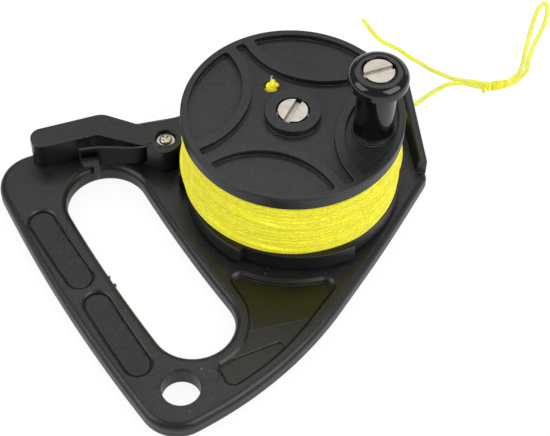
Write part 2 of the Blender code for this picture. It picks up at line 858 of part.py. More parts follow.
def pocket_outline(middle_deg):
    rim = flange_radius - rim_width
    circle = rib_circle_radius - rib_width
    corner = pocket_corner_round
    share = ((rim - corner) ** 2 + rib_circle_distance ** 2 - (circle - corner) ** 2)
    swing = math.acos(share / (2.0 * (rim - corner) * rib_circle_distance))
    middle = math.radians(middle_deg)
    centre = (rib_circle_distance * math.cos(middle), rib_circle_distance * math.sin(middle))
    points = arc(0.0, 0.0, rim, middle - swing, middle + swing)
    for side in (1.0, -1.0):
        turn = middle + side * swing
        corner_x = (rim - corner) * math.cos(turn)
        corner_y = (rim - corner) * math.sin(turn)
        inward = math.atan2(corner_y - centre[1], corner_x - centre[0])
        away = (inward - turn + math.pi) % (2.0 * math.pi) - math.pi
        bend = arc(corner_x, corner_y, corner, turn, turn + away)
        if side > 0.0:
            points += bend
            first = inward
        else:
            last = inward
            span = (last - first) % (2.0 * math.pi)
            points += arc(*centre, circle, first, first + span)
            points += list(reversed(bend))
    return tidy(points)


def star_outline():
    rim = flange_radius - rim_width
    corner = star_tip_round
    share = ((rim - corner) ** 2 + rib_circle_distance ** 2 - (rib_circle_radius + corner) ** 2)
    swing = math.acos(share / (2.0 * (rim - corner) * rib_circle_distance))
    points = []
    for quarter in range(4):
        middle = math.radians(pattern_turn_deg + 45.0 + 90.0 * quarter)
        centre = (rib_circle_distance * math.cos(middle), rib_circle_distance * math.sin(middle))
        ends = []
        for side in (-1.0, 1.0):
            turn = middle + side * swing
            corner_x = (rim - corner) * math.cos(turn)
            corner_y = (rim - corner) * math.sin(turn)
            toward = math.atan2(centre[1] - corner_y, centre[0] - corner_x)
            away = (toward - turn + math.pi) % (2.0 * math.pi) - math.pi
            bend = arc(corner_x, corner_y, corner, turn, turn + away)
            ends.append((bend, toward + math.pi))
        points += ends[0][0]
        start = ends[0][1]
        sweep = (ends[1][1] - start + math.pi) % (2.0 * math.pi) - math.pi
        points += arc(*centre, rib_circle_radius, start, start + sweep)
        points += list(reversed(ends[1][0]))
    return tidy(points)


def build_spool(spool_turn):
    bore = axle_radius + running_gap
    seat = screw_head_radius + running_gap
    corners = (
        (bore, counterbore_floor, 0.0),
        (seat, counterbore_floor, 0.0),
        (seat, boss_top, 0.0),
        (boss_radius, boss_top, flange_edge_round),
        (boss_radius, flange_top, 0.0),
        (flange_radius, flange_top, flange_edge_round),
        (flange_radius, flange_bottom, flange_edge_round),
        (hub_radius, flange_bottom, 0.0),
        (hub_radius, winding_bottom, 0.0),
        (bore, winding_bottom, 0.0),
    )
    flange = turned("spool_top_flange", corners, spool_turn, flange_steps)
    above = flange_top + cut_overrun
    star = prism("star_recess_cutter", [star_outline()], flange_floor, above, spool_turn, as_tool=True)
    keep = rod("boss_keeper", boss_radius, flange_floor - cut_overrun, above + cut_overrun, spool_turn,
               steps=turned_steps)
    cut(star, keep)
    knob_at = polar(knob_circle_radius, knob_deg)
    pad = rod("knob_pad_keeper", knob_pad_radius, flange_floor - cut_overrun, knob_seat, spool_turn,
              at=knob_at, steps=turned_steps)
    pockets = []
    for quarter in range(4):
        outline = pocket_outline(pattern_turn_deg + 45.0 + 90.0 * quarter)
        name = "flange_pocket_cutter_%d" % quarter
        pocket = prism(name, [outline], flange_floor, above, spool_turn, as_tool=True)
        if quarter == 3:
            cut(pocket, pad)
        pockets.append(pocket)
    anchor = rod("anchor_hole_cutter", anchor_hole_radius, flange_bottom - cut_overrun, above, spool_turn,
                 at=polar(anchor_hole_circle_radius, anchor_hole_deg), steps=16)
    post_bore = rod("knob_post_bore_cutter", knob_post_radius + running_gap, flange_bottom - cut_overrun,
                    above, spool_turn, at=knob_at)
    post_seat = rod("knob_post_seat_cutter", screw_head_radius + running_gap, flange_bottom - cut_overrun,
                    flange_bottom + screw_head_height + seat_gap, spool_turn, at=knob_at, steps=32)
    cut(flange, star, *pockets, anchor, post_bore, post_seat)
    black_plastic(flange)
    ratchet = prism("spool_ratchet", [ratchet_outline()], ratchet_bottom, ratchet_top, spool_turn)
    cut(ratchet, rod("ratchet_bore_cutter", bore, ratchet_bottom - cut_overrun, ratchet_top + cut_overrun,
                     spool_turn))
    black_plastic(ratchet)


def build_knob(spool_turn, knob_axis):
    knob_at = polar(knob_circle_radius, knob_deg)
    bore = screw_shank_radius + running_gap
    head_top = flange_bottom + screw_head_height
    post_top = grip_floor
    bore_end = knob_head_bottom - knob_screw_length - cut_overrun
    corners = (
        (0.0, bore_end, 0.0),
        (bore, bore_end, 0.0),
        (bore, post_top, 0.0),
        (knob_post_radius, post_top, 0.0),
        (knob_post_radius, head_top, 0.0),
        (screw_head_radius, head_top, 0.0),
        (screw_head_radius, flange_bottom + seat_gap, 0.0),
        (0.0, flange_bottom + seat_gap, 0.0),
    )
    barrel = turned("knob_barrel", corners, spool_turn, bore_steps, at=knob_at)
    steel(barrel)
    inner = knob_post_radius + running_gap
    washer = ring("knob_washer", inner, knob_washer_radius, knob_seat + seat_gap,
                  knob_seat + seat_gap + thrust_washer_thickness, spool_turn, at=knob_at)
    steel(washer)
    slotted_screw("knob_screw", knob_head_bottom, knob_screw_length, knob_slot_deg, spool_turn, knob_at)
    seat = screw_head_radius + running_gap
    grip_corners = (
        (inner, grip_floor, 0.0),
        (seat, grip_floor, 0.0),
        (seat, grip_top, flange_edge_round),
        (knob_cap_radius, grip_top, knob_cap_round),
        (knob_cap_radius, grip_top - knob_cap_under, knob_cap_under_round),
        (knob_neck_radius, grip_top - knob_neck_under, flange_edge_round),
        (knob_foot_neck, grip_bottom + knob_foot_neck_height, knob_foot_neck_height / 2.0),
        (knob_foot_radius, grip_bottom + knob_foot_height, knob_foot_round),
        (knob_foot_radius, grip_bottom, 0.0),
        (inner, grip_bottom, 0.0),
    )
    grip = turned("knob_grip", grip_corners, knob_axis, bore_steps + bore_steps)
    glossy_plastic(grip)


def lever_outline():
    def from_spool(radius, degrees):
        x, y = polar(radius, degrees)
        return x - lever_x, y - lever_y

    inside = ratchet_tip_radius + pawl_clearance
    nose_radius = ratchet_tip_radius - pawl_bite_depth
    nose_deg = ratchet_drop_deg + ratchet_undercut_deg + pawl_gap_deg
    vertex = inside / math.cos(math.radians(pawl_arc_half_deg))
    front = (
        thumb_far_shares,
        thumb_near_shares,
        thumb_front_bend_shares,
        boss_side_shares,
        boss_near_shares,
        boss_inner_shares,
    )
    thumb = shares(front, lever_reach)
    pawl = [
        (*from_spool(vertex, pawl_arc_mid_deg), inside),
        (*from_spool(inside, nose_deg + pawl_nose_deg + pawl_heel_deg), 0.0),
        (*from_spool(nose_radius, nose_deg + pawl_nose_deg), 0.0),
        (*from_spool(nose_radius, nose_deg), 0.0),
        (*from_spool(pawl_back_radius, nose_deg), lever_edge_round),
    ]
    back = shares((arm_back_shares, boss_back_shares, thumb_back_bend_shares), lever_reach)
    return rounded(thumb + pawl + back)


def leaf_line():
    return [(x * lever_reach, y * lever_reach) for x, y in leaf_route_shares]


def ribbon(name, route, width, bottom, top, parent, as_tool=False):
    flat = smooth_route([(x, y, 0.0) for x, y in route], leaf_point_spacing)
    left = []
    right = []
    for index, point in enumerate(flat):
        along = flat[min(index + 1, len(flat) - 1)] - flat[max(index - 1, 0)]
        side = Vector((-along.y, along.x, 0.0)).normalized() * width / 2.0
        left.append((point + side).xy)
        right.append((point - side).xy)
    outline = [tuple(point) for point in left + list(reversed(right))]
    return prism(name, [outline], bottom, top, parent, as_tool=as_tool)


def build_lever(spool_axis, lever_axis):
    above = lever_top_height + cut_overrun
    lever = prism("brake_lever", [lever_outline()], lever_bottom, lever_top_height, lever_axis,
                  lever_edge_round, 1)
    nose_cut = rod("nose_top_cutter", nose_cut_radius, nose_top_height, above, lever_axis,
                   at=(-lever_x, -lever_y), steps=96)
    bore = rod("lever_bore_cutter", lever_sleeve_radius + running_gap, lever_bottom - cut_overrun,
               above, lever_axis)
    recess = rod("lever_recess_cutter", lever_recess_radius, lever_recess_floor, above, lever_axis, steps=32)
    route = leaf_line()
    root = Vector(route[0])
    root_end = Vector(route[1])
    deeper = root - (root_end - root).normalized() * seat_gap
    slot = ribbon("leaf_slot_cutter", [tuple(deeper), tuple(root_end), tuple(route[2])],
                  leaf_thickness + 2.0 * seat_gap, leaf_bottom_height - seat_gap, above, lever_axis, True)
    cut(lever, nose_cut, bore, recess, slot)
    black_plastic(lever)
    leaf = ribbon("lever_leaf_spring", route, leaf_thickness, leaf_bottom_height, lever_top_height,
                  lever_axis)
    black_plastic(leaf)
    sleeve = ring("lever_sleeve", lever_sleeve_bore, lever_sleeve_radius, lever_bottom, lever_recess_floor,
                  spool_axis, at=(lever_x, lever_y))
    washer_bottom = lever_recess_floor + seat_gap
    washer = ring("lever_washer", lever_sleeve_bore, lever_washer_radius, washer_bottom,
                  washer_bottom + lever_washer_thickness, spool_axis, at=(lever_x, lever_y))
    corners = (
        (0.0, lever_top_height, 0.0),
        (lever_head_radius, lever_top_height, lever_head_round),
        (lever_head_radius, lever_head_bottom, 0.0),
        (lever_screw_radius, lever_head_bottom, 0.0),
        (lever_screw_radius, lever_head_bottom - lever_screw_length, 0.0),
        (0.0, lever_head_bottom - lever_screw_length, 0.0),
    )
    screw = turned("lever_screw", corners, spool_axis, bore_steps, at=(lever_x, lever_y))
    for turn in (0.0, 90.0):
        name = "lever_cross_cutter_%d" % turn
        cut(screw, block(name, lever_cross_length, lever_cross_width, lever_top_height - lever_cross_depth,
                         above, spool_axis, lever_cross_deg + turn, (lever_x, lever_y)))
    for piece in (sleeve, washer, screw):
        steel(piece)


def winding_centre(share):
    along = winding_start_share + (1.0 - winding_start_share) * share
    swell = math.sin(math.pi * winding_swell_share * along) ** 2
    return winding_top_radius + winding_bulge_depth * swell


def lead_start():
    reach = math.hypot(guide_inner_x, guide_inner_y)
    radius = winding_centre(1.0)
    length = math.sqrt(reach ** 2 - radius ** 2)
    turn = math.atan2(guide_inner_y, guide_inner_x) - math.atan2(length, radius)
    return turn, radius, length


def build_winding(spool_turn):
    turn, radius, length = lead_start()
    top = flange_bottom - winding_end_gap - line_diameter / 2.0
    bottom = ratchet_top + lead_clear_gap + line_diameter / 2.0
    steps = winding_turns * winding_points_per_turn
    line = []
    for step in range(steps + 1):
        share = step / steps
        angle = turn - 2.0 * math.pi * winding_turns * (1.0 - share)
        centre = winding_centre(share)
        height = top + (bottom - top) * share
        line.append(Vector((centre * math.cos(angle), centre * math.sin(angle), height)))
    straight = Vector((-math.sin(turn), math.cos(turn), 0.0)) * line_diameter
    first = (line[0] - line[1]).normalized() * line_diameter
    line = [line[0] + first] + line + [line[-1] + straight]
    tube("winding_line", line, spool_turn, 1)
    gaps = []
    for index, point in enumerate(line):
        for other in line[index + winding_points_per_turn // 2:]:
            gaps.append((point - other).length)
    print("winding: least gap to itself %.2f mm" % ((min(gaps) - line_diameter) * 1000.0))
    corners = [(hub_radius + seat_gap, flange_bottom - seat_gap, 0.0)]
    for step in range(7):
        share = step / 6.0
        height = flange_bottom - seat_gap + (winding_bottom - flange_bottom + seat_gap) * share
        corners.append((winding_centre(share) - core_clearance, height, 0.0))
    corners.append((hub_radius + seat_gap, winding_bottom, 0.0))
    core = turned("winding_core", corners, spool_turn, turned_steps)
    yellow_line(core)


def from_guide(route):
    return [(guide_outer_x + x, guide_outer_y + y, height) for x, y, height in route]


def build_lines(spool_axis, spool_turn):
    turn, radius, length = lead_start()
    start = Vector((radius * math.cos(turn), radius * math.sin(turn), 0.0))
    along = Vector((-math.sin(turn), math.cos(turn), 0.0))
    level = ratchet_top + lead_clear_gap + line_diameter / 2.0
    lead = []
    for distance in (line_diameter + seat_gap, lead_level_length, length):
        point = start + along * distance
        point.z = level if distance < length else guide_hole_z
        lead.append(point)
    tube("line_lead", lead, spool_axis)
    for name, route in (("line_run", run_route), ("line_tail", tail_route), ("line_loop", loop_route)):
        tube(name, smooth_route(from_guide(route), lying_point_spacing), spool_axis)
    knot = smooth_route(from_guide(knot_route), line_diameter)
    full = 2.0 * knot_half_width / line_diameter
    waist = 2.0 * knot_waist / line_diameter
    radii = [full if index % 2 else waist for index in range(len(knot))]
    tube("line_knot", knot, spool_axis, radii=radii)
    anchor_at = polar(anchor_circle_radius, anchor_deg)
    base = flange_floor + seat_gap
    half = line_diameter / 2.0
    corners = (
        (0.0, base + anchor_knot_height, 0.0),
        (anchor_knot_radius, base + anchor_knot_height, anchor_knot_height / 2.2),
        (anchor_knot_radius, base, anchor_knot_height / 2.2),
        (half, base, 0.0),
        (half, flange_bottom, 0.0),
        (0.0, flange_bottom, 0.0),
    )
    anchor = turned("anchor_knot", corners, spool_turn, 16, at=anchor_at)
    yellow_line(anchor)


def shade_round(thing):
    bpy.context.view_layer.update()
    shown = thing.evaluated_get(bpy.context.evaluated_depsgraph_get())
    mesh = bpy.data.meshes.new_from_object(shown)
    mesh.shade_smooth()
    mesh.set_sharp_from_angle(angle=math.radians(sharp_edge_deg))
    thing.modifiers.clear()
    thing.data = mesh


def build():
    clear_scene()
    spool_axis = empty("spool_axis", spool_x, spool_y)
    spool_turn = empty("spool_turn", 0.0, 0.0, spool_axis)
    knob_axis = empty("knob_axis", *polar(knob_circle_radius, knob_deg), spool_turn)
    lever_axis = empty("lever_axis", lever_x, lever_y, spool_axis)
    build_plate(spool_axis)
    build_axle(spool_axis)
    build_lever(spool_axis, lever_axis)
    build_spool(spool_turn)
    build_knob(spool_turn, knob_axis)
    build_winding(spool_turn)
    build_lines(spool_axis, spool_turn)
    for thing in reel.objects:
        if thing.type == "MESH":
            shade_round(thing)


build()
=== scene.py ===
import json
import math

import bmesh
import bpy
from mathutils import Matrix, Vector, noise


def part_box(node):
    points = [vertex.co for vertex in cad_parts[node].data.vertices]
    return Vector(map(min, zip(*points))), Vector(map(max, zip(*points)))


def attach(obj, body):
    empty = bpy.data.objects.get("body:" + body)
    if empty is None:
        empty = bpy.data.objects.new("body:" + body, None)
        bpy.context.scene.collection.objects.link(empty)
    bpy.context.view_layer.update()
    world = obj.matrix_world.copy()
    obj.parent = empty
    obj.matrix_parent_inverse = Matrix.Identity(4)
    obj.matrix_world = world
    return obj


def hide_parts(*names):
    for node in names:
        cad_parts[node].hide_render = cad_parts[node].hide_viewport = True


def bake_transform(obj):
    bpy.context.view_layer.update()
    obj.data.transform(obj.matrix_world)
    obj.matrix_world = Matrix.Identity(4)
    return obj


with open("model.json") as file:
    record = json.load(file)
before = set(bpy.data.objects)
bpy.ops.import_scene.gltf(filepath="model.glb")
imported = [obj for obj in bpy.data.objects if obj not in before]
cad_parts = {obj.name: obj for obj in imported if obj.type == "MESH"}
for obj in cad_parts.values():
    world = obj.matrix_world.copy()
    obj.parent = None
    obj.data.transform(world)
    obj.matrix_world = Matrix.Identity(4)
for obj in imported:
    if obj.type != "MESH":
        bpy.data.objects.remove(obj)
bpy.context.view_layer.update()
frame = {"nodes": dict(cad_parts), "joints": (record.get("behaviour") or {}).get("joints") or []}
fullTurn = 2.0 * math.pi
quarterTurn = math.pi / 2.0
samePlace = 0.00002  # outline points nearer than this are one
weldGap = 0.000002
cadWeldGap = 0.000004
overrun = 0.001  # how far a cutter goes past the face that it opens
cutterHeight = 0.004
wallSlant = 0.00004
mouthShare = 0.3  # where the two flats of a hole's softened mouth meet

# Where the spool, the lever and the knob turn, as the frame says
jointPlace = {joint["name"]: Vector(joint["pos_m"]) for joint in frame["joints"]}
spoolPlace = Vector((*jointPlace["spool_spin"].xy, 0.0))
leverPlace = Vector((*jointPlace["lever_pivot"].xy, 0.0))
knobPlace = Vector((*jointPlace["knob_spin"].xy, 0.0))
plateTop = 0.0090


def placed(name, data):
    thing = bpy.data.objects.new(name, data)
    bpy.context.scene.collection.objects.link(thing)
    return thing


# Camera, at the photograph's height and turn
cameraSizes = {
    "place": (-0.19807, -0.30832, 0.48587),
    "pitchDeg": 52.90,
    "rollDeg": 1.883,
    "turnDeg": -33.8,
    "lens": 98.45,
    "sensor": 36.0,
    "clip": (0.01, 20.0),
}


def addCamera():
    size = cameraSizes
    lens = bpy.data.cameras.new("photoCamera")
    lens.lens = size["lens"]
    lens.sensor_width = size["sensor"]
    lens.sensor_fit = "HORIZONTAL"
    lens.clip_start, lens.clip_end = size["clip"]
    camera = placed("photoCamera", lens)
    turn = Matrix.Rotation(math.radians(size["turnDeg"]), 4, "Z")
    tilt = Matrix.Rotation(math.radians(90.0 - size["pitchDeg"]), 4, "X")
    roll = Matrix.Rotation(math.radians(size["rollDeg"]), 4, "Z")
    camera.matrix_world = Matrix.Translation(size["place"]) @ turn @ tilt @ roll
    bpy.context.scene.camera = camera


# Small helpers for outlines, meshes and finished pieces
arcSizes = {"sag": 0.000012, "smallestRadius": 0.0001, "fewest": 4}


def polar(radius, angle, centre=(0.0, 0.0)):
    return centre[0] + radius * math.cos(angle), centre[1] + radius * math.sin(angle)


def ringPoints(radius, steps, centre=(0.0, 0.0)):
    return [Vector(polar(radius, fullTurn * step / steps, centre)) for step in range(steps)]


def arcPoints(centre, radius, start, end):
    step = 2.0 * math.acos(1.0 - arcSizes["sag"] / max(radius, arcSizes["smallestRadius"]))
    count = max(arcSizes["fewest"], math.ceil(abs(end - start) / step))
    angles = [start + (end - start) * index / count for index in range(count + 1)]
    return [Vector(polar(radius, angle, centre)) for angle in angles]


def withoutRepeats(points, closed=True):
    kept = []
    for point in points:
        if not kept or (point - kept[-1]).length > samePlace:
            kept.append(point)
    if closed and (kept[0] - kept[-1]).length < samePlace:
        kept.pop()
    return kept


def roundedOutline(corners, closed=True):
    points = []
    count = len(corners)
    for index, (x, y, radius) in enumerate(corners):
        here = Vector((x, y))
        if radius == 0.0 or (not closed and index in (0, count - 1)):
            points.append(here)
            continue
        back = (Vector(corners[index - 1][:2]) - here).normalized()
        onward = (Vector(corners[(index + 1) % count][:2]) - here).normalized()
        half = back.angle(onward) / 2.0
        start = here + back * radius / math.tan(half)
        end = here + onward * radius / math.tan(half)
        centre = here + (back + onward).normalized() * radius / math.sin(half)
        first = math.atan2(start.y - centre.y, start.x - centre.x)
        last = math.atan2(end.y - centre.y, end.x - centre.x)
        points.extend(arcPoints(centre, radius, first, first + halfTurnAtMost(last - first)))
    return withoutRepeats(points, closed)


def halfTurnAtMost(angle):
    return (angle + math.pi) % fullTurn - math.pi


def bowedSlot(middleX, middleY, length, width, bowRadius):
    bow = (middleX + bowRadius, middleY)
    half = (length - width) / 2.0 / bowRadius
    side = width / 2.0
    low = (bow[0] + bowRadius * math.cos(math.pi + half), middleY - bowRadius * math.sin(half))
    high = (low[0], 2.0 * middleY - low[1])
    points = arcPoints(bow, bowRadius + side, math.pi - half, math.pi + half)
    points += arcPoints(low, side, math.pi + half, fullTurn + half)
    points += arcPoints(bow, bowRadius - side, math.pi + half, math.pi - half)
    points += arcPoints(high, side, -half, math.pi - half)
    return withoutRepeats(points)


def signedArea(points):
    pairs = zip(points[-1:] + points, points)
    return sum(before.x * here.y - here.x * before.y for before, here in pairs) / 2.0


def leftTurning(points):
    return points if signedArea(points) > 0.0 else points[::-1]


def grownOutline(points, amount):
    grown = []
    count = len(points)
    for index, here in enumerate(points):
        before = (here - points[index - 1]).normalized()
        after = (points[(index + 1) % count] - here).normalized()
        first = Vector((before.y, -before.x))
        mean = (first + Vector((after.y, -after.x))).normalized()
        grown.append(here + mean * amount / max(0.5, mean.dot(first)))
    return grown


def layeredWall(work, outline, layers):
    rings = []
    for grow, height in layers:
        corners = [work.verts.new((*point, height)) for point in grownOutline(outline, grow)]
        rings.append([work.edges.new((corners[index - 1], corners[index])) for index in range(len(corners))])
    for lower, upper in zip(rings, rings[1:]):
        bmesh.ops.bridge_loops(work, edges=lower + upper)
    return rings[0], rings[-1]


def fillFlat(work, edges, materialIndex=0):
    made = bmesh.ops.triangle_fill(work, edges=edges, use_beauty=True, use_dissolve=False, normal=(0, 0, 1))
    for face in made["geom"]:
        if isinstance(face, bmesh.types.BMFace):
            face.material_index = materialIndex


def closedSolid(outline, layers, topMaterial=0):
    work = bmesh.new()
    low, high = layeredWall(work, outline, layers)
    fillFlat(work, low)
    fillFlat(work, high, topMaterial)
    bmesh.ops.recalc_face_normals(work, faces=work.faces)
    return work


def roundedWall(bottom, top, lowRound, highRound, steps=5, between=()):
    low, high = [], []
    for step in range(steps + 1):
        sine, cosine = math.sin(quarterTurn * step / steps), math.cos(quarterTurn * step / steps)
        low.append((lowRound * (sine - 1.0), bottom + lowRound * (1.0 - cosine)))
        high.append((highRound * (cosine - 1.0), top - highRound * (1.0 - sine)))
    return [*low, *between, *high]


def bossWall(bottom, top, edge):
    return [(0.0, bottom)] + roundedWall(bottom, top, 0.0, edge)[6:]


def openMouth(edge, face, inward=-1.0):
    middle = mouthShare * edge
    return [(0.0, face + inward * edge), (middle, face + inward * middle), (edge, face)]


def shiftMesh(work, vec):
    bmesh.ops.translate(work, vec=vec, verts=work.verts)


def turnMesh(work, angle, axis="Z"):
    bmesh.ops.rotate(work, cent=(0, 0, 0), matrix=Matrix.Rotation(angle, 3, axis), verts=work.verts)


def meshObject(name, work):
    mesh = bpy.data.meshes.new(name)
    work.to_mesh(mesh)
    work.free()
    return placed(name, mesh)


def reopened(thing):
    work = bmesh.new()
    work.from_mesh(thing.data)
    bpy.data.objects.remove(thing, do_unlink=True)
    return work


def evenShading(piece, keepSharp=True):
    piece.modifiers.new("evenShading", "WEIGHTED_NORMAL").keep_sharp = keepSharp


def newPiece(name, work, materials, body, smoothDeg=35.0, shift=None, weighted=True):
    if shift is not None:
        shiftMesh(work, shift)
    piece = meshObject(name, work)
    piece.data.shade_smooth()
    piece.data.set_sharp_from_angle(angle=math.radians(smoothDeg))
    for material in materials:
        piece.data.materials.append(material)
    if weighted:
        evenShading(piece)
    if body:
        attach(piece, body)
    return piece


def claim(piece, node):
    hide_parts(node)


def finalMesh(thing):
    bpy.context.view_layer.update()
    return bpy.data.meshes.new_from_object(thing.evaluated_get(bpy.context.evaluated_depsgraph_get()))


def combined(base, tools, operation):
    for tool in tools:
        step = base.modifiers.new(operation, "BOOLEAN")
        step.operation = operation
        step.solver = "EXACT"
        step.object = tool
    mesh = finalMesh(base)
    base.modifiers.clear()
    base.data = mesh
    for tool in tools:
        bpy.data.objects.remove(tool, do_unlink=True)
    return base


def spunSolid(profile, steps, centre=(0.0, 0.0), closed=True):
    work = bmesh.new()
    corners = [work.verts.new((radius, 0.0, height)) for radius, height in profile]
    pairs = list(zip(corners, corners[1:]))
    if closed:
        pairs.append((corners[-1], corners[0]))
    edges = [work.edges.new(pair) for pair in pairs]
    bmesh.ops.spin(
        work, geom=corners + edges, cent=(0, 0, 0), axis=(0, 0, 1), dvec=(0, 0, 0),
        angle=fullTurn, steps=steps, use_merge=True, use_normal_flip=False, use_duplicate=False,
    )
    bmesh.ops.remove_doubles(work, verts=work.verts, dist=weldGap)
    bmesh.ops.recalc_face_normals(work, faces=work.faces)
    shiftMesh(work, (*centre, 0.0))
    return work


def addBlock(size, middle, turnDeg, bevel=0.0, pivot=(0.0, 0.0)):
    work = bmesh.new()
    bmesh.ops.create_cube(work, size=1.0)
    bmesh.ops.scale(work, vec=size, verts=work.verts)
    if bevel:
        bmesh.ops.bevel(work, geom=work.edges, offset=bevel, affect="EDGES", segments=3, profile=0.5,
                        material=-1)
    shiftMesh(work, middle)
    turnMesh(work, math.radians(turnDeg))
    shiftMesh(work, (*pivot, 0.0))
    return meshObject("block", work)


def slotCutter(length, width, floor, turnDeg, x=0.0, pivot=(0.0, 0.0)):
    return addBlock((length, width, cutterHeight), (x, 0.0, floor + cutterHeight / 2.0), turnDeg, 0.0, pivot)


def cadMesh(node):
    work = bmesh.new()
    work.from_mesh(frame["nodes"][node].data)
    bmesh.ops.remove_doubles(work, verts=work.verts, dist=cadWeldGap)
    return work


def copiedNode(node, material, body, smoothDeg=35.0):
    first, *others = node.split("_")
    name = first + "".join(word.capitalize() for word in others)
    claim(newPiece(name, cadMesh(node), [material], body, smoothDeg), node)


def smoothRoute(route, spacing):
    points = [Vector(point) for point in route]
    padded = [2.0 * points[0] - points[1]] + points + [2.0 * points[-1] - points[-2]]
    line = []
    for index in range(len(points) - 1):
        before, start, end, after = padded[index:index + 4]
        count = max(1, round((end - start).length / spacing))
        for step in range(count):
            t = step / count
            line.append(0.5 * (
                2.0 * start
                + (end - before) * t
                + (2.0 * before - 5.0 * start + 4.0 * end - after) * t ** 2
                + (3.0 * start - before - 3.0 * end + after) * t ** 3
            ))
    line.append(points[-1])
    return line


def evenLine(line, spacing):
    lengths = [0.0]
    for before, after in zip(line, line[1:]):
        lengths.append(lengths[-1] + (after - before).length)
    count = max(2, round(lengths[-1] / spacing))
    result = []
    place = 0
    for step in range(count + 1):
        target = lengths[-1] * step / count
        while place < len(line) - 2 and lengths[place + 1] < target:
            place += 1
        span = lengths[place + 1] - lengths[place]
        share = (target - lengths[place]) / span if span else 0.0
        result.append(line[place].lerp(line[place + 1], share))
    return result


def lineLength(line):
    return sum((after - before).length for before, after in zip(line, line[1:]))


def lumpyRadii(line, lump, pace, seed):
    return [1.0 + lump * noise.noise(Vector((index * pace, *seed))) for index in range(len(line))]


def lineCurve(name, line, radius, material, radii=None):
    curve = bpy.data.curves.new(name, "CURVE")
    curve.dimensions = "3D"
    curve.fill_mode = "FULL"
    curve.bevel_depth = radius
    curve.bevel_resolution = 4
    curve.use_fill_caps = True
    spline = curve.splines.new("POLY")
    spline.points.add(len(line) - 1)
    for index, (point, place) in enumerate(zip(spline.points, line)):
        point.co = (*place, 1.0)
        point.radius = 1.0 if radii is None else radii[index]
    spline.use_smooth = True
    curve.materials.append(material)
    return placed(name, curve)


# Node helpers for the finishes
class Finish:
    def __init__(self, name):
        self.material = bpy.data.materials.new(name)
        self.material.use_nodes = True
        self.tree = self.material.node_tree
        self.shader = self.tree.nodes["Principled BSDF"]

    def feed(self, socket, value):
        if isinstance(value, bpy.types.NodeSocket):
            self.tree.links.new(value, socket)
        else:
            socket.default_value = (*value, 1.0) if isinstance(value, tuple) else value

    def give(self, name, value):
        self.feed(self.shader.inputs[name], value)

    def node(self, kind, sockets, output=0, **settings):
        made = self.tree.nodes.new(kind)
        for key, value in settings.items():
            setattr(made, key, value)
        for key, value in sockets.items():
            self.feed(made.inputs[key], value)
        return made.outputs[output]

    def coordinates(self, which="Object"):
        return self.node("ShaderNodeTexCoord", {}, which)

    def axes(self, vector):
        return self.node("ShaderNodeSeparateXYZ", {0: vector}).node.outputs

    def noise(self, vector, scale, detail=2.0, roughness=0.5):
        sockets = {"Vector": vector, "Scale": scale, "Detail": detail, "Roughness": roughness}
        return self.node("ShaderNodeTexNoise", sockets, "Fac")

    def remap(self, value, low, high, toLow=0.0, toHigh=1.0):
        sockets = {"Value": value, "From Min": low, "From Max": high, "To Min": toLow, "To Max": toHigh}
        return self.node("ShaderNodeMapRange", sockets, "Result")

    def mixColour(self, factor, first, second):
        return self.node("ShaderNodeMix", {0: factor, 6: first, 7: second}, 2, data_type="RGBA")

    def sums(self, operation, first, second=0.0):
        return self.node("ShaderNodeMath", {0: first, 1: second}, operation=operation)

    def bump(self, height, strength, distance, normal=None):
        sockets = {"Height": height, "Strength": strength, "Distance": distance}
        if normal is not None:
            sockets["Normal"] = normal
        return self.node("ShaderNodeBump", sockets, "Normal")

    def softEdge(self, radius):
        return self.node("ShaderNodeBevel", {"Radius": radius}, "Normal", samples=6)

    def edgeShare(self, radius, flat, sharp):
        face = self.node("ShaderNodeNewGeometry", {}, "Normal")
        pair = {0: self.softEdge(radius), 1: face}
        likeness = self.node("ShaderNodeVectorMath", pair, "Value", operation="DOT_PRODUCT")
        return self.remap(likeness, flat, sharp)


# In the finishes a scale is a noise's. A span is where a remap starts and ends, and the last two
# numbers of a span of four are what it gives there
patchSpan = (0.3, 0.7)
mouldedSizes = {
    "colour": (0.0085, 0.0085, 0.0090),
    "cloudyColour": (0.0115, 0.0115, 0.0119),
    "cloudScale": 38.0,
    "cloudSpan": (0.35, 0.65),
    "grainyColour": (0.0210, 0.0210, 0.0214),
    "grainyScale": 1190.0,
    "grainySpan": (0.48, 0.68),
    # Lighter edges in patches: partly real wear, partly a painted highlight along the edges
    "edgeWearAndHighlightColour": (0.150, 0.150, 0.150),
    "edgeWearAndHighlightReach": 1.3,
    "edgeWearAndHighlightEdge": (0.995, 0.80),
    "edgeWearAndHighlightScale": 240.0,
    "edgeWearAndHighlightSpan": (0.40, 0.62, 0.25, 0.90),
    "speckColour": (0.14, 0.14, 0.135),
    "speckScale": 700.0,
    "speckSpan": (0.870, 0.885),
    "specular": 0.42,
    "patchScale": 120.0,
    "roughness": (0.27, 0.36),
    "padRoughness": (0.46, 0.54),
    "padTone": 1.3,
    # Yellow on the pocket floor: painted bounce light from the yellow line
    "pocketBounceTint": (0.86, 0.78, 0.32),
    "flangeRoughness": (0.33, 0.38),
    # The flange's colours are lifted: a painted sheen on the same plastic
    "flangeSheenTone": 1.3,
    # The leaf's sides use a darker copy of the plastic: painted shade
    "leafRoughness": (0.34, 0.40),
    "leafShadeTone": 0.25,
    "leafSpecular": 0.14,
    "leafEdge": 0.0002,
    "grainScale": 1700.0,
    "grainHeight": 0.00010,
    "edgeRadius": 0.00040,
}


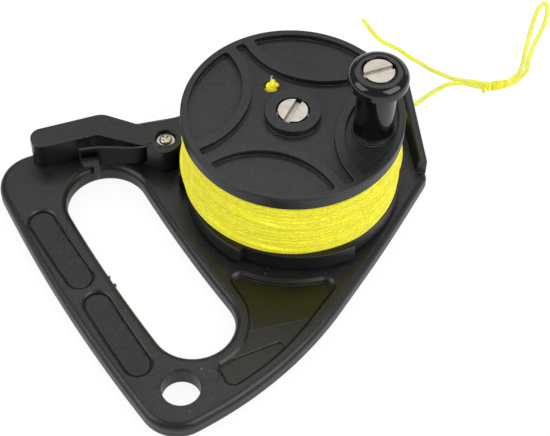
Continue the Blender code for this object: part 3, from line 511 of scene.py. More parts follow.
def mouldedPlastic(name, roughness, grainDepth, tone=1.0, specular=mouldedSizes["specular"],
                   edgeRadius=mouldedSizes["edgeRadius"], bounceTint=(1.0, 1.0, 1.0), specks=True):
    size = mouldedSizes
    finish = Finish(name)
    where = finish.coordinates()

    # A bounce tint here is painted bounce light, not the plastic's own colour
    def toned(key):
        return tuple(tone * share * value for share, value in zip(bounceTint, size[key]))

    cloud = finish.remap(finish.noise(where, size["cloudScale"], 3.0), *size["cloudSpan"])
    base = finish.mixColour(cloud, toned("colour"), toned("cloudyColour"))
    grainy = finish.remap(finish.noise(where, size["grainyScale"], 2.0, 0.7), *size["grainySpan"])
    base = finish.mixColour(grainy, base, toned("grainyColour"))
    # Edges lighten in patches: partly real wear, partly a painted highlight
    scuffAndHighlightPatches = finish.remap(finish.noise(where, size["edgeWearAndHighlightScale"], 4.0, 0.65), *size["edgeWearAndHighlightSpan"])
    edge = finish.edgeShare(edgeRadius * size["edgeWearAndHighlightReach"], *size["edgeWearAndHighlightEdge"])
    base = finish.mixColour(finish.sums("MULTIPLY", edge, scuffAndHighlightPatches), base, size["edgeWearAndHighlightColour"])
    if specks:
        dust = finish.remap(finish.noise(where, size["speckScale"], 0.0), *size["speckSpan"])
        base = finish.mixColour(dust, base, size["speckColour"])
    finish.give("Base Color", base)
    finish.give("Specular IOR Level", specular)
    patches = finish.noise(where, size["patchScale"], 3.0)
    finish.give("Roughness", finish.remap(patches, *patchSpan, *roughness))
    grain = finish.noise(where, size["grainScale"], 2.0, 0.6)
    soft = finish.softEdge(edgeRadius)
    finish.give("Normal", finish.bump(grain, grainDepth, size["grainHeight"], soft))
    return finish.material


glossSizes = {
    "colour": (0.0065, 0.0065, 0.0070), "roughness": (0.07, 0.13), "patchScale": 90.0,
    "rippleScale": 300.0, "rippleDepth": 0.04, "rippleHeight": 0.00004, "edgeRadius": 0.0003,
}


def glossyPlastic(name):
    size = glossSizes
    finish = Finish(name)
    where = finish.coordinates()
    finish.give("Base Color", size["colour"])
    patches = finish.noise(where, size["patchScale"], 3.0)
    finish.give("Roughness", finish.remap(patches, *patchSpan, *size["roughness"]))
    ripple = finish.noise(where, size["rippleScale"], 1.0)
    soft = finish.softEdge(size["edgeRadius"])
    finish.give("Normal", finish.bump(ripple, size["rippleDepth"], size["rippleHeight"], soft))
    return finish.material


metalSizes = {
    "patchScale": 420.0, "darkSpan": (0.40, 0.70), "grainScale": 3200.0, "grainHeight": 0.00003,
    "edgeRadius": 0.00015,
    # Of each metal the colour, the dark colour, the roughness and the grain's depth
    "nickelSteel": ((0.68, 0.63, 0.555), (0.57, 0.525, 0.46), (0.38, 0.50), 0.12),
    # The slot's floor: a darker copy of the nickel, painted shade down in the slot
    "slotFloorShadedSteel": ((0.52, 0.49, 0.44), (0.44, 0.41, 0.36), (0.34, 0.42), 0.03),
    # The head's side: a near-black copy of the nickel, painted shade around the head
    "headSideShadedSteel": ((0.09, 0.085, 0.08), (0.05, 0.048, 0.045), (0.30, 0.40), 0.03),
    "plainSteel": ((0.62, 0.59, 0.53), (0.46, 0.43, 0.38), (0.26, 0.36), 0.05),
    "polishedSteel": ((0.60, 0.58, 0.55), (0.48, 0.46, 0.43), (0.14, 0.22), 0.03),
}


def brightMetal(name):
    size = metalSizes
    colour, darkColour, roughness, grainDepth = size[name]
    finish = Finish(name)
    where = finish.coordinates()
    finish.give("Metallic", 1.0)
    patches = finish.noise(where, size["patchScale"], 4.0, 0.6)
    finish.give("Base Color", finish.mixColour(finish.remap(patches, *size["darkSpan"]), colour, darkColour))
    finish.give("Roughness", finish.remap(patches, *patchSpan, *roughness))
    grain = finish.noise(where, size["grainScale"], 3.0, 0.6)
    soft = finish.softEdge(size["edgeRadius"])
    finish.give("Normal", finish.bump(grain, grainDepth, size["grainHeight"], soft))
    return finish.material


braidSizes = {
    "colour": (0.93, 0.88, 0.014),
    # Darker yellow: painted shade in the braid's valleys, and also the random dark fibres
    "valleyShadeAndDarkFibreColour": (0.66, 0.55, 0.002),
    "paleColour": (1.00, 0.99, 0.16),
    # Emission on the line: a painted glow, partly standing in for its fluorescence
    "glow": 0.30,
    "freeGlow": 0.31,
    "freeGlowColour": (0.78, 0.95, 0.22),
    "pitch": 0.0024,
    "strandsAround": 4.0,
    "strandSpan": (0.25, 0.95),
    "fibreScale": 5200.0,
    "fibreShare": 0.8,
    "grainScale": 1500.0,
    "grainShare": 1.2,
    "paleSpan": (0.52, 0.66, 0.0, 0.85),
    "darkSpan": (0.46, 0.34, 0.0, 0.75),
    "roughness": 0.62,
    "sheen": 0.15,
    "specular": 0.25,
    "relief": 0.70,
    "reliefHeight": 0.00022,
}


def braidedFinish(name, length, free=False):
    size = braidSizes
    finish = Finish(name)
    uv = finish.axes(finish.coordinates("UV"))
    along = finish.sums("MULTIPLY", uv["Y"], fullTurn * length / size["pitch"])
    around = finish.sums("MULTIPLY", uv["X"], fullTurn * size["strandsAround"] / 2.0)
    right = finish.sums("SINE", finish.sums("ADD", along, around))
    left = finish.sums("SINE", finish.sums("SUBTRACT", along, around))
    height = finish.remap(finish.sums("MULTIPLY", right, left), -1.0, 1.0)
    fibres = finish.noise(finish.coordinates(), size["fibreScale"], 3.0, 0.7)
    height = finish.sums("ADD", height, finish.sums("MULTIPLY", fibres, size["fibreShare"]))
    # Valleys between the strands take the darker yellow: painted shade
    strands = finish.remap(height, *size["strandSpan"])
    shade = finish.mixColour(strands, size["valleyShadeAndDarkFibreColour"], size["colour"])
    grain = finish.noise(finish.coordinates(), size["grainScale"], 2.0, 0.7)
    shade = finish.mixColour(finish.remap(grain, *size["paleSpan"]), shade, size["paleColour"])
    shade = finish.mixColour(finish.remap(grain, *size["darkSpan"]), shade, size["valleyShadeAndDarkFibreColour"])
    height = finish.sums("ADD", height, finish.sums("MULTIPLY", grain, size["grainShare"]))
    finish.give("Base Color", shade)
    finish.give("Emission Color", size["freeGlowColour"] if free else shade)
    finish.give("Emission Strength", size["freeGlow" if free else "glow"])  # painted glow, partly the line's fluorescence and partly painted light on it
    finish.give("Roughness", size["roughness"])
    finish.give("Sheen Weight", size["sheen"])
    finish.give("Specular IOR Level", size["specular"])
    finish.give("Normal", finish.bump(height, size["relief"], size["reliefHeight"]))
    return finish


def braidedLine(name, line, free=False):
    return braidedFinish(name, lineLength(line), free).material


# Line: the run out of the guide hole, its tail, its loop and their knot
lineSizes = {
    "diameter": 0.0018,
    "spacing": 0.0006,
    # Places from the spool's axis: x, y, height of the line's centre
    "run": (
        (0.0597, 0.0062, 0.0125), (0.0649, 0.0080, 0.0122), (0.0690, 0.0087, 0.0090),
        (0.0718, 0.0110, 0.0060), (0.0758, 0.0132, 0.0032), (0.0810, 0.0153, 0.0012),
        (0.0881, 0.0163, 0.0010), (0.0933, 0.0159, 0.0010), (0.0980, 0.0136, 0.0010),
        (0.1017, 0.0098, 0.0010), (0.1044, 0.0066, 0.0013), (0.1062, 0.0050, 0.0020),
    ),
    "tail": (
        (0.1060, 0.0060, 0.0030), (0.1027, 0.0099, 0.0025), (0.0995, 0.0128, 0.0023),
        (0.0967, 0.0163, 0.0016), (0.0953, 0.0193, 0.0010), (0.0932, 0.0233, 0.0010),
        (0.0910, 0.0276, 0.0010), (0.0894, 0.0329, 0.0010), (0.0876, 0.0380, 0.0010),
        (0.0862, 0.0437, 0.0010), (0.0844, 0.0482, 0.0010), (0.0826, 0.0522, 0.0010),
        (0.0821, 0.0565, 0.0010), (0.0823, 0.0613, 0.0010), (0.0829, 0.0682, 0.0010),
    ),
    "loop": (
        (0.1136, 0.0034, 0.0020), (0.1160, 0.0035, 0.0016), (0.1184, 0.0041, 0.0012),
        (0.1222, 0.0052, 0.0010), (0.1265, 0.0078, 0.0010), (0.1322, 0.0132, 0.0010),
        (0.1388, 0.0191, 0.0010), (0.1457, 0.0251, 0.0010), (0.1519, 0.0301, 0.0010),
        (0.1567, 0.0331, 0.0010), (0.1598, 0.0333, 0.0010), (0.1585, 0.0301, 0.0010),
        (0.1542, 0.0257, 0.0010), (0.1484, 0.0212, 0.0010), (0.1414, 0.0168, 0.0010),
        (0.1354, 0.0126, 0.0010), (0.1305, 0.0086, 0.0010), (0.1270, 0.0051, 0.0010),
        (0.1225, 0.0033, 0.0010), (0.1184, 0.0022, 0.0012), (0.1160, 0.0018, 0.0016),
        (0.1136, 0.0019, 0.0020),
    ),
    "knot": (
        (0.1046, 0.0060, 0.0024), (0.1063, 0.0048, 0.0025), (0.1090, 0.0037, 0.0026),
        (0.1120, 0.0029, 0.0025), (0.1140, 0.0026, 0.0024),
    ),
    "lumps": (0.05, 0.9, (3.0, 0.0)),
    "tipShares": (0.45, 0.72, 0.90),  # radius of the tail's last points, the end first
    "knotRoughSpacing": 0.0003,
    "knotSpacing": 0.0002,
    "knotWraps": 6.0,
    "knotWrapRadius": 0.00128,
    "knotEndShare": 0.66,
    "knotLumpShare": 0.16,
    "knotLumpPace": 7.0,
    "knotWrapLine": 0.00086,
    "knotWrapSpacing": 0.0004,
    "knotTag": 0.0016,
    "knotTagLean": (-0.0007, -0.0006, -0.0003),
}


def freeRoute(part, roughSpacing, spacing):
    points = [Vector(point) + spoolPlace for point in lineSizes[part]]
    return evenLine(smoothRoute(points, roughSpacing), spacing)


def addFreeKnot():
    size = lineSizes
    centre = freeRoute("knot", size["knotRoughSpacing"], size["knotSpacing"])
    wraps = []
    for index, point in enumerate(centre):
        share = index / (len(centre) - 1)
        along = (centre[min(index + 1, len(centre) - 1)] - centre[max(index - 1, 0)]).normalized()
        side = along.cross(Vector((0, 0, 1))).normalized()
        over = side.cross(along)
        angle = fullTurn * size["knotWraps"] * share
        lump = size["knotLumpShare"] * noise.noise(Vector((share * size["knotLumpPace"], 1.0, 0.0)))
        middle = (1.0 - size["knotEndShare"]) * math.sin(math.pi * share)
        swell = size["knotWrapRadius"] * (size["knotEndShare"] + middle + lump)
        wraps.append(point + (side * math.cos(angle) + over * math.sin(angle)) * swell)
    tag = (wraps[1] - wraps[4]).normalized() * size["knotTag"]
    wraps.insert(0, wraps[0] + tag + Vector(size["knotTagLean"]))
    route = evenLine(wraps, size["knotWrapSpacing"])
    knot = lineCurve("freeLineKnot", route, size["knotWrapLine"], braidedLine("knotBraid", wraps))
    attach(knot, "frame")
    claim(knot, "line_knot")
    return knot


def addFreeLines():
    size = lineSizes
    for part in ("run", "tail", "loop"):
        line = freeRoute(part, size["spacing"], size["spacing"])
        radii = lumpyRadii(line, *size["lumps"])
        if part == "tail":
            for index, share in enumerate(size["tipShares"]):
                radii[-1 - index] *= share
        material = braidedLine(part + "Braid", line, True)
        piece = lineCurve("freeLine" + part.capitalize(), line, size["diameter"] / 2.0, material, radii)
        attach(piece, "frame")
        claim(piece, "line_" + part)
    knot = addFreeKnot()


# Line wound on the spool, and its lead to the guide hole
windingSizes = {
    "topRadius": 0.0408,
    "bulge": 0.0012,
    # The bottom's place on a sine's half wave, and the top's as a share of it
    "bulgePlaces": (0.62, 0.15),
    "top": 0.0472,
    "bottom": 0.0195,
    "width": 0.00235,
    "depth": 0.0021,
    "turns": 13.0,
    "rise": 0.0011,
    "crossTurns": 1.6,
    "crossRise": 0.0006,
    "crossDrop": 0.0040,
    "underTurns": 14.0,
    "underDepth": 0.0013,
    "pointsPerTurn": 110,
    "spacing": 0.0012,
    "endShare": 6.0,
    # Layers count from here, so that no two courses wander alike
    "crossLayer": 40,
    "underLayer": 80,
    # Wandering off the even turns: reach, pace from layer to layer, offset and strength of each wave
    "wander": 0.00055,
    "waves": ((1.3, 0.71, 0.0, 1.5), (4.1, 1.37, 5.0, 0.7)),
    "sideShare": 0.6,
    "lumps": (0.07, 0.35, (0.0, 7.0)),
    "leadLevel": 0.0176,
}


def windingRadius(share):
    bottom, top = windingSizes["bulgePlaces"]
    swell = math.sin(math.pi * min(1.0, top + (1.0 - top) * share) * bottom) ** 2
    return windingSizes["topRadius"] + windingSizes["bulge"] * swell


def leadTangent():
    x, y = wallSizes["inner"][:2]
    radius = windingRadius(1.0)
    length = math.sqrt(math.hypot(x, y) ** 2 - radius ** 2)
    return math.atan2(y, x) - math.atan2(length, radius), radius, length


def wander(angle, layer):
    total = 0.0
    for reach, pace, offset, strength in windingSizes["waves"]:
        total += strength * noise.noise(Vector((*polar(reach, angle), layer * pace + offset)))
    return windingSizes["wander"] * total


def ovalProfile(width, depth, steps=12):
    curve = bpy.data.curves.new("ovalSection", "CURVE")
    curve.dimensions = "2D"
    spline = curve.splines.new("POLY")
    spline.points.add(steps - 1)
    for point, place in zip(spline.points, ringPoints(0.5, steps)):
        point.co = (place.x * depth, place.y * width, 0.0, 1.0)
    spline.use_cyclic_u = True
    return placed("ovalSection", curve)


def windingPath(first, last, turns, endAngle, layer, rise):
    size = windingSizes
    steps = round(turns * size["pointsPerTurn"])
    span = size["top"] - size["bottom"]
    points = []
    for step in range(steps + 1):
        share = step / steps
        height = first + (last - first) * share
        angle = endAngle - fullTurn * turns * (1.0 - share)
        level = (size["top"] - height) / span
        edge = min(1.0, size["endShare"] * share, size["endShare"] * (1.0 - share))
        number = layer + math.floor(share * turns)
        blend = share * turns - math.floor(share * turns)
        drift = wander(angle, number) * (1.0 - blend) + wander(angle, number + 1) * blend
        radius = windingRadius(level) + rise * edge + size["sideShare"] * drift
        points.append(Vector((*polar(radius, angle), height + drift * edge)))
    return points


def addWinding():
    size = windingSizes
    top = size["top"] - size["width"] / 2.0
    low = size["bottom"] + size["rise"]
    end = leadTangent()[0]
    crossTop, crossTurns = top - size["crossDrop"], size["crossTurns"]
    start = end - fullTurn * crossTurns
    layers = {
        "windingCross": (crossTop, size["bottom"], crossTurns, end, size["crossLayer"], size["crossRise"]),
        "windingOuter": (low, top, size["turns"], start, 0, 0.0),
        "windingUnder": (top, low, size["underTurns"], start, size["underLayer"], -size["underDepth"]),
    }
    profile = ovalProfile(size["width"], size["depth"])
    for name, course in layers.items():
        line = [point + spoolPlace for point in evenLine(windingPath(*course), size["spacing"])]
        radii = lumpyRadii(line, *size["lumps"])
        source = lineCurve(name + "Line", line, 0.0, braidedLine(name + "Braid", line), radii)
        source.data.bevel_mode = "OBJECT"
        source.data.bevel_object = profile
        source.data.twist_mode = "Z_UP"
        piece = placed(name, finalMesh(source))
        bpy.data.objects.remove(source, do_unlink=True)
        piece.data.shade_smooth()
        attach(piece, "spool")
        if name == "windingCross":
            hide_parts("winding_line")
    bpy.data.objects.remove(profile, do_unlink=True)
    copiedNode("winding_core", braidedFinish("coreBraid", 1.0).material, "spool", 30.0)


def addLeadLine():
    turn, radius, length = leadTangent()
    start = Vector((*polar(radius, turn), windingSizes["bottom"])) + spoolPlace
    along = Vector((-math.sin(turn), math.cos(turn), 0.0))
    mouth = start + along * length
    mouth.z = wallSizes["inner"][2]
    spacing = lineSizes["spacing"]
    lead = evenLine(smoothRoute((start, start + along * windingSizes["leadLevel"], mouth), spacing), spacing)
    piece = lineCurve("leadLine", lead, lineSizes["diameter"] / 2.0, braidedLine("leadBraid", lead))
    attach(piece, "frame")
    claim(piece, "line_lead")


anchorSizes = {
    "reach": 0.0161, "turnDeg": 86.4, "height": 0.0531, "size": 0.00134, "line": 0.00092,
    "root": ((0.0002, 0.0010, -0.0046), (0.0002, 0.0008, -0.0024)),  # where it comes up its hole
    "steps": 66, "turnShare": 0.97, "shares": (0.45, 0.62, -0.34),
    "roughSpacing": 0.0004, "spacing": 0.0003,
    "orangeSideColour": (0.62, 0.27, 0.002), "orangeSideFrom": 0.0006, "orangeSideTo": 0.0021, "orangeSideShare": 0.75,
}
whiskerSizes = {
    "count": 9, "length": 0.0034, "from": (-0.0003, 0.0012, 0.0006), "radius": 0.00020, "spread": 0.0003,
    "sway": 0.0006, "lean": 0.0006, "taper": 0.7, "roughness": 0.7, "steps": 5, "pace": 1.7, "seed": 11,
    "colour": (0.62, 0.70, 0.30), "paleColour": (0.86, 0.92, 0.58), "scale": 1500.0, "span": (0.35, 0.65),
}


def anchorPlace():
    at = polar(anchorSizes["reach"], math.radians(anchorSizes["turnDeg"]))
    return spoolPlace + Vector((*at, anchorSizes["height"]))


def addAnchorKnot():
    size = anchorSizes
    centre = anchorPlace()
    points = [centre + Vector(place) for place in size["root"]]
    for step in range(size["steps"] + 1):
        t = fullTurn * size["turnShare"] * step / size["steps"]
        x = math.sin(t) + 2.0 * math.sin(2.0 * t)
        y = math.cos(t) - 2.0 * math.cos(2.0 * t)
        z = -math.sin(3.0 * t)
        knotted = Vector([share * value for share, value in zip(size["shares"], (x, z, y))])
        points.append(centre + knotted * size["size"])
    line = evenLine(smoothRoute(points, size["roughSpacing"]), size["spacing"])
    # The knot's colour is mixed toward orange-brown on its right side
    finish = braidedFinish("anchorBraid", lineLength(line))
    place = finish.axes(finish.coordinates())["X"]
    near, far = centre.x + size["orangeSideFrom"], centre.x + size["orangeSideTo"]
    side = finish.remap(place, near, far, 0.0, size["orangeSideShare"])
    base = finish.shader.inputs["Base Color"].links[0].from_socket
    orangeSided = finish.mixColour(side, base, size["orangeSideColour"])
    finish.give("Base Color", orangeSided)
    finish.give("Emission Color", orangeSided)
    piece = lineCurve("anchorKnot", line, size["line"], finish.material)
    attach(piece, "spool")
    claim(piece, "anchor_knot")


def addWhiskers():
    size = whiskerSizes
    finish = Finish("whiskerFibres")
    fibres = finish.remap(finish.noise(finish.coordinates(), size["scale"]), *size["span"])
    finish.give("Base Color", finish.mixColour(fibres, size["colour"], size["paleColour"]))
    finish.give("Roughness", size["roughness"])
    strands = bpy.data.curves.new("anchorWhiskers", "CURVE")
    strands.dimensions = "3D"
    strands.bevel_depth = size["radius"]
    strands.bevel_resolution = 1
    strands.use_fill_caps = True
    root = anchorPlace() + Vector(size["from"])
    noise.seed_set(size["seed"])
    for strand in range(size["count"]):
        lean = noise.noise_vector(Vector((strand * size["pace"], 2.0, 0.0)))
        spline = strands.splines.new("POLY")
        spline.points.add(size["steps"])
        for step, point in enumerate(spline.points):
            share = step / size["steps"]
            tip = root + Vector((lean.x * size["spread"], 0.0, 0.0)) + lean * share * size["sway"]
            point.co = (tip.x + share * size["lean"], tip.y, tip.z + share * size["length"], 1.0)
            point.radius = 1.0 - size["taper"] * share
    strands.materials.append(finish.material)
    whiskers = placed("anchorWhiskers", strands)
    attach(whiskers, "spool")


# The plate: a thick moulding with a hand hole, grip pads, a pocket and the line's guide wall
plateSizes = {
    "length": 0.1750,
    "edgeRound": 0.0028,
    "partingHeight": 0.0045,
    "partingGroove": (0.00007, 0.0001, 0.00022),  # depth, half its floor and half its mouth
    # Corners from the spool's axis as shares of the length: x, y, radius
    "cornerShares": (
        (-0.5760, -0.4269, 0.0857), (-0.2657, -0.4269, 0.9143), (0.1029, -0.2469, 3.4286),
        (0.2880, -0.1440, 0.0183), (0.4149, 0.1434, 0.0286), (-0.2400, 0.3646, 0.3429),
        (-0.5703, 0.4103, 0.0886), (-0.6057, -0.0286, 3.7143),
    ),
    "bowRadius": 0.6400,
    "handHole": (-0.0671, -0.0018, 0.1001, 0.0322),
    "rimShares": (0.85, 0.35),
    "pads": ((-0.0936, 0.0200, 0.0420, 0.0108), (-0.0936, -0.0258, 0.0420, 0.0108)),
    "padRim": (0.0013, 0.0009, 0.0006, 0.0003),  # depth, width, drop and softness of the sloping rim
    "padGroove": 0.0005,
    "padGrooveEdge": 0.0001,
    "pocketShares": (
        (-0.2531, -0.1166, 0.0171), (-0.2531, -0.3194, 0.1257), (-0.3886, -0.3309, 0.0114),
        (-0.3960, -0.3891, 0.0171), (-0.2600, -0.3749, 0.5714), (-0.0366, -0.2754, 0.0171),
        (-0.1686, -0.2326, 0.2731),
    ),
    "pocketRim": (0.0021, 0.0014, 0.0010, 0.00035),
    "ledgeShares": (
        (-0.3950, -0.3225, 0.0), (-0.2880, -0.2880, 0.0), (-0.1400, -0.3345, 0.0),
        (-0.2050, -0.3620, 0.0), (-0.2420, -0.3800, 0.0), (-0.2400, -0.3425, 0.0090),
    ),
    "ledgeDepth": 0.0014,
    "ledgeFoot": 0.0058,
    "ledgeEdge": 0.0003,
    "clipHole": (-0.0849, -0.0588),
    "clipRadius": 0.0073,
    "clipRound": 0.0008,
    "ejectorMarks": ((-0.0932, -0.0512), (-0.0727, -0.0598)),
    "ejectorRadius": 0.0030,
    "ejectorDepth": 0.00007,
    "ejectorSlant": 0.00012,
    "axleRadius": 0.0043,
    "axleSeatRadius": 0.0064,
    "axleSeatDepth": 0.0030,
    "leverBoreRadius": 0.0016,
    "leverBoreFloor": 0.0025,
    # Gate nubs in the hand hole: x, y, height, width and turn in degrees
    "gateNubs": ((-0.0834, -0.0006, 0.0066, 0.0009, -18.0), (-0.0832, -0.0048, 0.0062, 0.0012, 12.0)),
    "nubLength": 0.0013,
    "nubTall": 0.0016,
    "nubEdge": 0.0002,
}
wallSizes = {
    "thickness": 0.0045, "crest": 0.0036, "inset": 0.0002, "foot": 0.0035, "round": 0.0012,
    "topNear": 0.0165, "topFar": 0.0232, "start": 0.0022, "back": 0.0100,
    "holeRadius": 0.0021, "lipRadiusShare": 1.18, "lipLength": 0.0016, "flareRadius": 0.0042,
    "flareLength": 0.0032,
    # The guide hole's mouths from the spool's axis
    "outer": (0.0649, 0.0080, 0.0125), "inner": (0.0589, 0.0059, 0.0125),
}
postSizes = {
    "place": (-0.0629, 0.0467), "turnDeg": 157.6, "width": 0.0026, "leg": 0.0024, "reach": 0.0056,
    "height": 0.0080, "barHeight": 0.0030, "root": 0.0030, "edge": 0.0003,
    "inset": 0.00001,  # keeps the bar's faces off the leg's
    "grooveWidth": 0.0028, "grooveDepth": 0.0012, "grooveReach": 0.0100,
}


def scaledCorners(shares, unit):
    return [(x * unit, y * unit, radius * unit) for x, y, radius in shares]


def edgeProfile():
    size = plateSizes
    middle, edge = size["partingHeight"], size["edgeRound"]
    depth, floor, mouth = size["partingGroove"]
    groove = ((0.0, middle - mouth), (-depth, middle - floor),
              (-depth, middle + floor), (0.0, middle + mouth))
    return roundedWall(0.0, plateTop, edge, edge, 6, groove)


def slopingRim(depth, width, drop, soft):
    inner, foot = plateSizes["rimShares"]
    corners = ((width + soft, plateTop, 0.0), (width * inner, plateTop, soft),
               (0.0, plateTop - drop, soft * foot), (-wallSlant, plateTop - depth, 0.0))
    return roundedOutline(corners, closed=False)


def guideWall():
    size = wallSizes
    corners = scaledCorners(plateSizes["cornerShares"], plateSizes["length"])
    near, far, bend = (Vector(corner[:2]) for corner in corners[3:6])
    start = near + (far - near).normalized() * size["start"]
    end = far + (bend - far).normalized() * size["back"]
    route = roundedOutline(((*start, 0.0), (*far, corners[4][2]), (*end, 0.0)), closed=False)
    total = (far - start).length
    profile = roundedOutline((
        (size["inset"], size["foot"], 0.0), (size["inset"], size["topNear"], size["round"]),
        (size["crest"], size["topNear"], size["round"]), (size["thickness"], plateTop, 0.0),
        (size["thickness"], size["foot"], 0.0),
    ))
    work = bmesh.new()
    rings = []
    for index, here in enumerate(route):
        along = (route[min(index + 1, len(route) - 1)] - route[max(index - 1, 0)]).normalized()
        inward = Vector((-along.y, along.x))
        rise = (size["topFar"] - size["topNear"]) * min(1.0, (here - start).length / total)
        corners = []
        for depth, height in profile:
            lifted = height + rise if height > plateTop else height
            corners.append(work.verts.new((*(here + inward * depth), lifted)))
        rings.append([work.edges.new((corners[i - 1], corners[i])) for i in range(len(corners))])
    for before, after in zip(rings, rings[1:]):
        bmesh.ops.bridge_loops(work, edges=before + after)
    bmesh.ops.edgeloop_fill(work, edges=rings[0])
    bmesh.ops.edgeloop_fill(work, edges=rings[-1])
    bmesh.ops.recalc_face_normals(work, faces=work.faces)
    return meshObject("guideWall", work)


def guideBore():
    size = wallSizes
    outer, inner = Vector(size["outer"]), Vector(size["inner"])
    far, radius = (outer - inner).length + size["thickness"], size["holeRadius"]
    work = spunSolid((
        (0.0, far), (radius, far), (radius, size["flareLength"]),
        (radius * size["lipRadiusShare"], size["lipLength"]),
        (size["flareRadius"], -overrun), (0.0, -overrun),
    ), 32, closed=False)
    turnMesh(work, quarterTurn, "Y")
    turnMesh(work, math.atan2(outer.y - inner.y, outer.x - inner.x))
    shiftMesh(work, inner)
    return meshObject("guideBore", work)


def springPost():
    size = postSizes
    top = plateTop + size["height"]
    legHeight = size["height"] + size["root"]
    leg = addBlock((size["leg"], size["width"], legHeight), (0.0, 0.0, top - legHeight / 2.0),
                   size["turnDeg"], size["edge"], size["place"])
    bar = addBlock((size["reach"], size["width"] - 2.0 * size["inset"], size["barHeight"]),
                   (size["reach"] / 2.0, 0.0, top - size["barHeight"] / 2.0 - size["inset"]),
                   size["turnDeg"], size["edge"], size["place"])
    return [leg, bar]


def addPlate(moulded, padSatin, pocketBounceSatin):
    size = plateSizes
    unit, bow = size["length"], size["bowRadius"]
    work = bmesh.new()
    lowLoops, topLoops = [], []

    def pierce(outline, layers):
        low, high = layeredWall(work, outline, layers)
        lowLoops.extend(low)
        topLoops.extend(high)

    def sink(outline, layers, floorMaterial=0):
        rim, floor = layeredWall(work, outline, layers)
        topLoops.extend(rim)
        fillFlat(work, floor, floorMaterial)

    profile = edgeProfile()
    pierce(roundedOutline(scaledCorners(size["cornerShares"], unit)), profile)
    pierce(bowedSlot(*size["handHole"], bow), [(-grow, height) for grow, height in profile])
    floor, groove, edge = plateTop - size["padRim"][0], size["padGroove"], size["padGrooveEdge"]
    for pad in size["pads"]:
        sink(bowedSlot(*pad, bow), slopingRim(*size["padRim"]) + [
            (-2.0 * edge, floor - groove), (-groove, floor - groove), (-groove - edge, floor - edge),
            (-groove - 3.0 * edge, floor + edge)], 1)
    pocket = leftTurning(roundedOutline(scaledCorners(size["pocketShares"], unit)))
    # The pocket's floor takes the copy with the painted yellow bounce light
    sink(pocket, slopingRim(*size["pocketRim"]), 2)
    edge = size["clipRound"]
    mouths = openMouth(edge, 0.0, 1.0)[::-1] + openMouth(edge, plateTop)
    pierce(ringPoints(size["clipRadius"], 64, size["clipHole"]), mouths)
    for mark in size["ejectorMarks"]:
        sink(ringPoints(size["ejectorRadius"], 40, mark),
             [(0.0, plateTop), (-size["ejectorSlant"], plateTop - size["ejectorDepth"])])
    step, seat = size["axleSeatRadius"] - size["axleRadius"], size["axleSeatDepth"]
    pierce(ringPoints(size["axleRadius"], 48), [(step, 0.0), (step, seat), (0.0, seat), (0.0, plateTop)])
    ring = ringPoints(size["leverBoreRadius"], 24, (leverPlace - spoolPlace).xy)
    floor, rim = layeredWall(work, ring, [(0.0, size["leverBoreFloor"]), (0.0, plateTop)])
    fillFlat(work, floor)
    fillFlat(work, topLoops + rim)
    fillFlat(work, lowLoops)
    bmesh.ops.recalc_face_normals(work, faces=work.faces)
    plate = meshObject("platePlain", work)
    outline = roundedOutline(scaledCorners(size["ledgeShares"], unit))
    top, edge = plateTop - size["ledgeDepth"], size["ledgeEdge"]
    ledge = closedSolid(outline, [(0.0, size["ledgeFoot"]), (0.0, top - edge), (-edge, top)], 1)
    post = postSizes
    groove = slotCutter(post["grooveReach"], post["grooveWidth"], plateTop - post["grooveDepth"],
                        post["turnDeg"] - 90.0, -post["grooveReach"] / 2.0, post["place"])
    added = [meshObject("ledge", ledge), guideWall(), *springPost()]
    for x, y, height, width, turnDeg in size["gateNubs"]:
        added.append(addBlock((size["nubLength"], width, size["nubTall"]), (0.0, 0.0, height), turnDeg,
                              size["nubEdge"], (x, y)))
    combined(plate, [groove], "DIFFERENCE")
    combined(plate, added, "UNION")
    combined(plate, [guideBore()], "DIFFERENCE")
    work = reopened(plate)
    bmesh.ops.remove_doubles(work, verts=work.verts, dist=weldGap)
    piece = newPiece("plateMoulding", work, [moulded, padSatin, pocketBounceSatin], "frame", 35.0, spoolPlace)
    claim(piece, "frame_plate")


# Spool, ratchet, lever and knob
flangeSizes = {
    "radius": 0.0430, "bottom": 0.0482, "top": 0.0542, "edge": 0.0007,
    "recess": 0.0024, "recessEdge": 0.00030, "floorRound": 0.00012, "floorShares": (0.35, 0.3),
    "rimWidth": 0.0027, "ribDistance": 0.0514, "ribRadius": 0.0344, "ribWidth": 0.0040,
    "tipRound": 0.0016, "cornerRound": 0.0014, "patternTurnDeg": -1.0, "holeEdge": 0.0002,
    "hub": 0.0150, "hubBottom": 0.0185, "bore": 0.0043, "seat": 0.0065, "seatFloor": 0.0517,
    "boss": 0.0109, "bossTop": 0.0550, "bossEdge": 0.0003,
    "knobBoss": 0.0083, "knobBossTop": 0.0530, "knobBore": 0.0037, "knobSeat": 0.0064, "knobSeatTop": 0.0505,
    "anchorHole": 0.0030, "anchorReach": 0.0170, "anchorTurnDeg": 87.0,
}


def recessProfile():
    size = flangeSizes
    edge, soft, floor = size["recessEdge"], size["floorRound"], size["top"] - size["recess"]
    across, up = size["floorShares"]
    profile = []
    steps = 7
    for step in range(steps + 1):
        angle = quarterTurn * step / steps
        profile.append((edge * (1.0 - math.sin(angle)), size["top"] - edge * (1.0 - math.cos(angle))))
    return profile + [(-wallSlant, floor + soft), (-soft * across, floor + soft * up), (-soft, floor)]


def ribCorner(middle, side, radius, corner, inwards):
    reach = flangeSizes["radius"] - flangeSizes["rimWidth"] - corner
    distance = flangeSizes["ribDistance"]
    share = reach ** 2 + distance ** 2 - (radius + corner * inwards) ** 2
    turn = middle + side * math.acos(share / (2.0 * reach * distance))
    at = polar(reach, turn)
    centre = polar(distance, middle)
    toward = math.atan2(centre[1] - at[1], centre[0] - at[0])
    face = toward if inwards > 0.0 else toward + math.pi
    return arcPoints(at, corner, turn, turn + halfTurnAtMost(face - turn)), toward + math.pi, turn


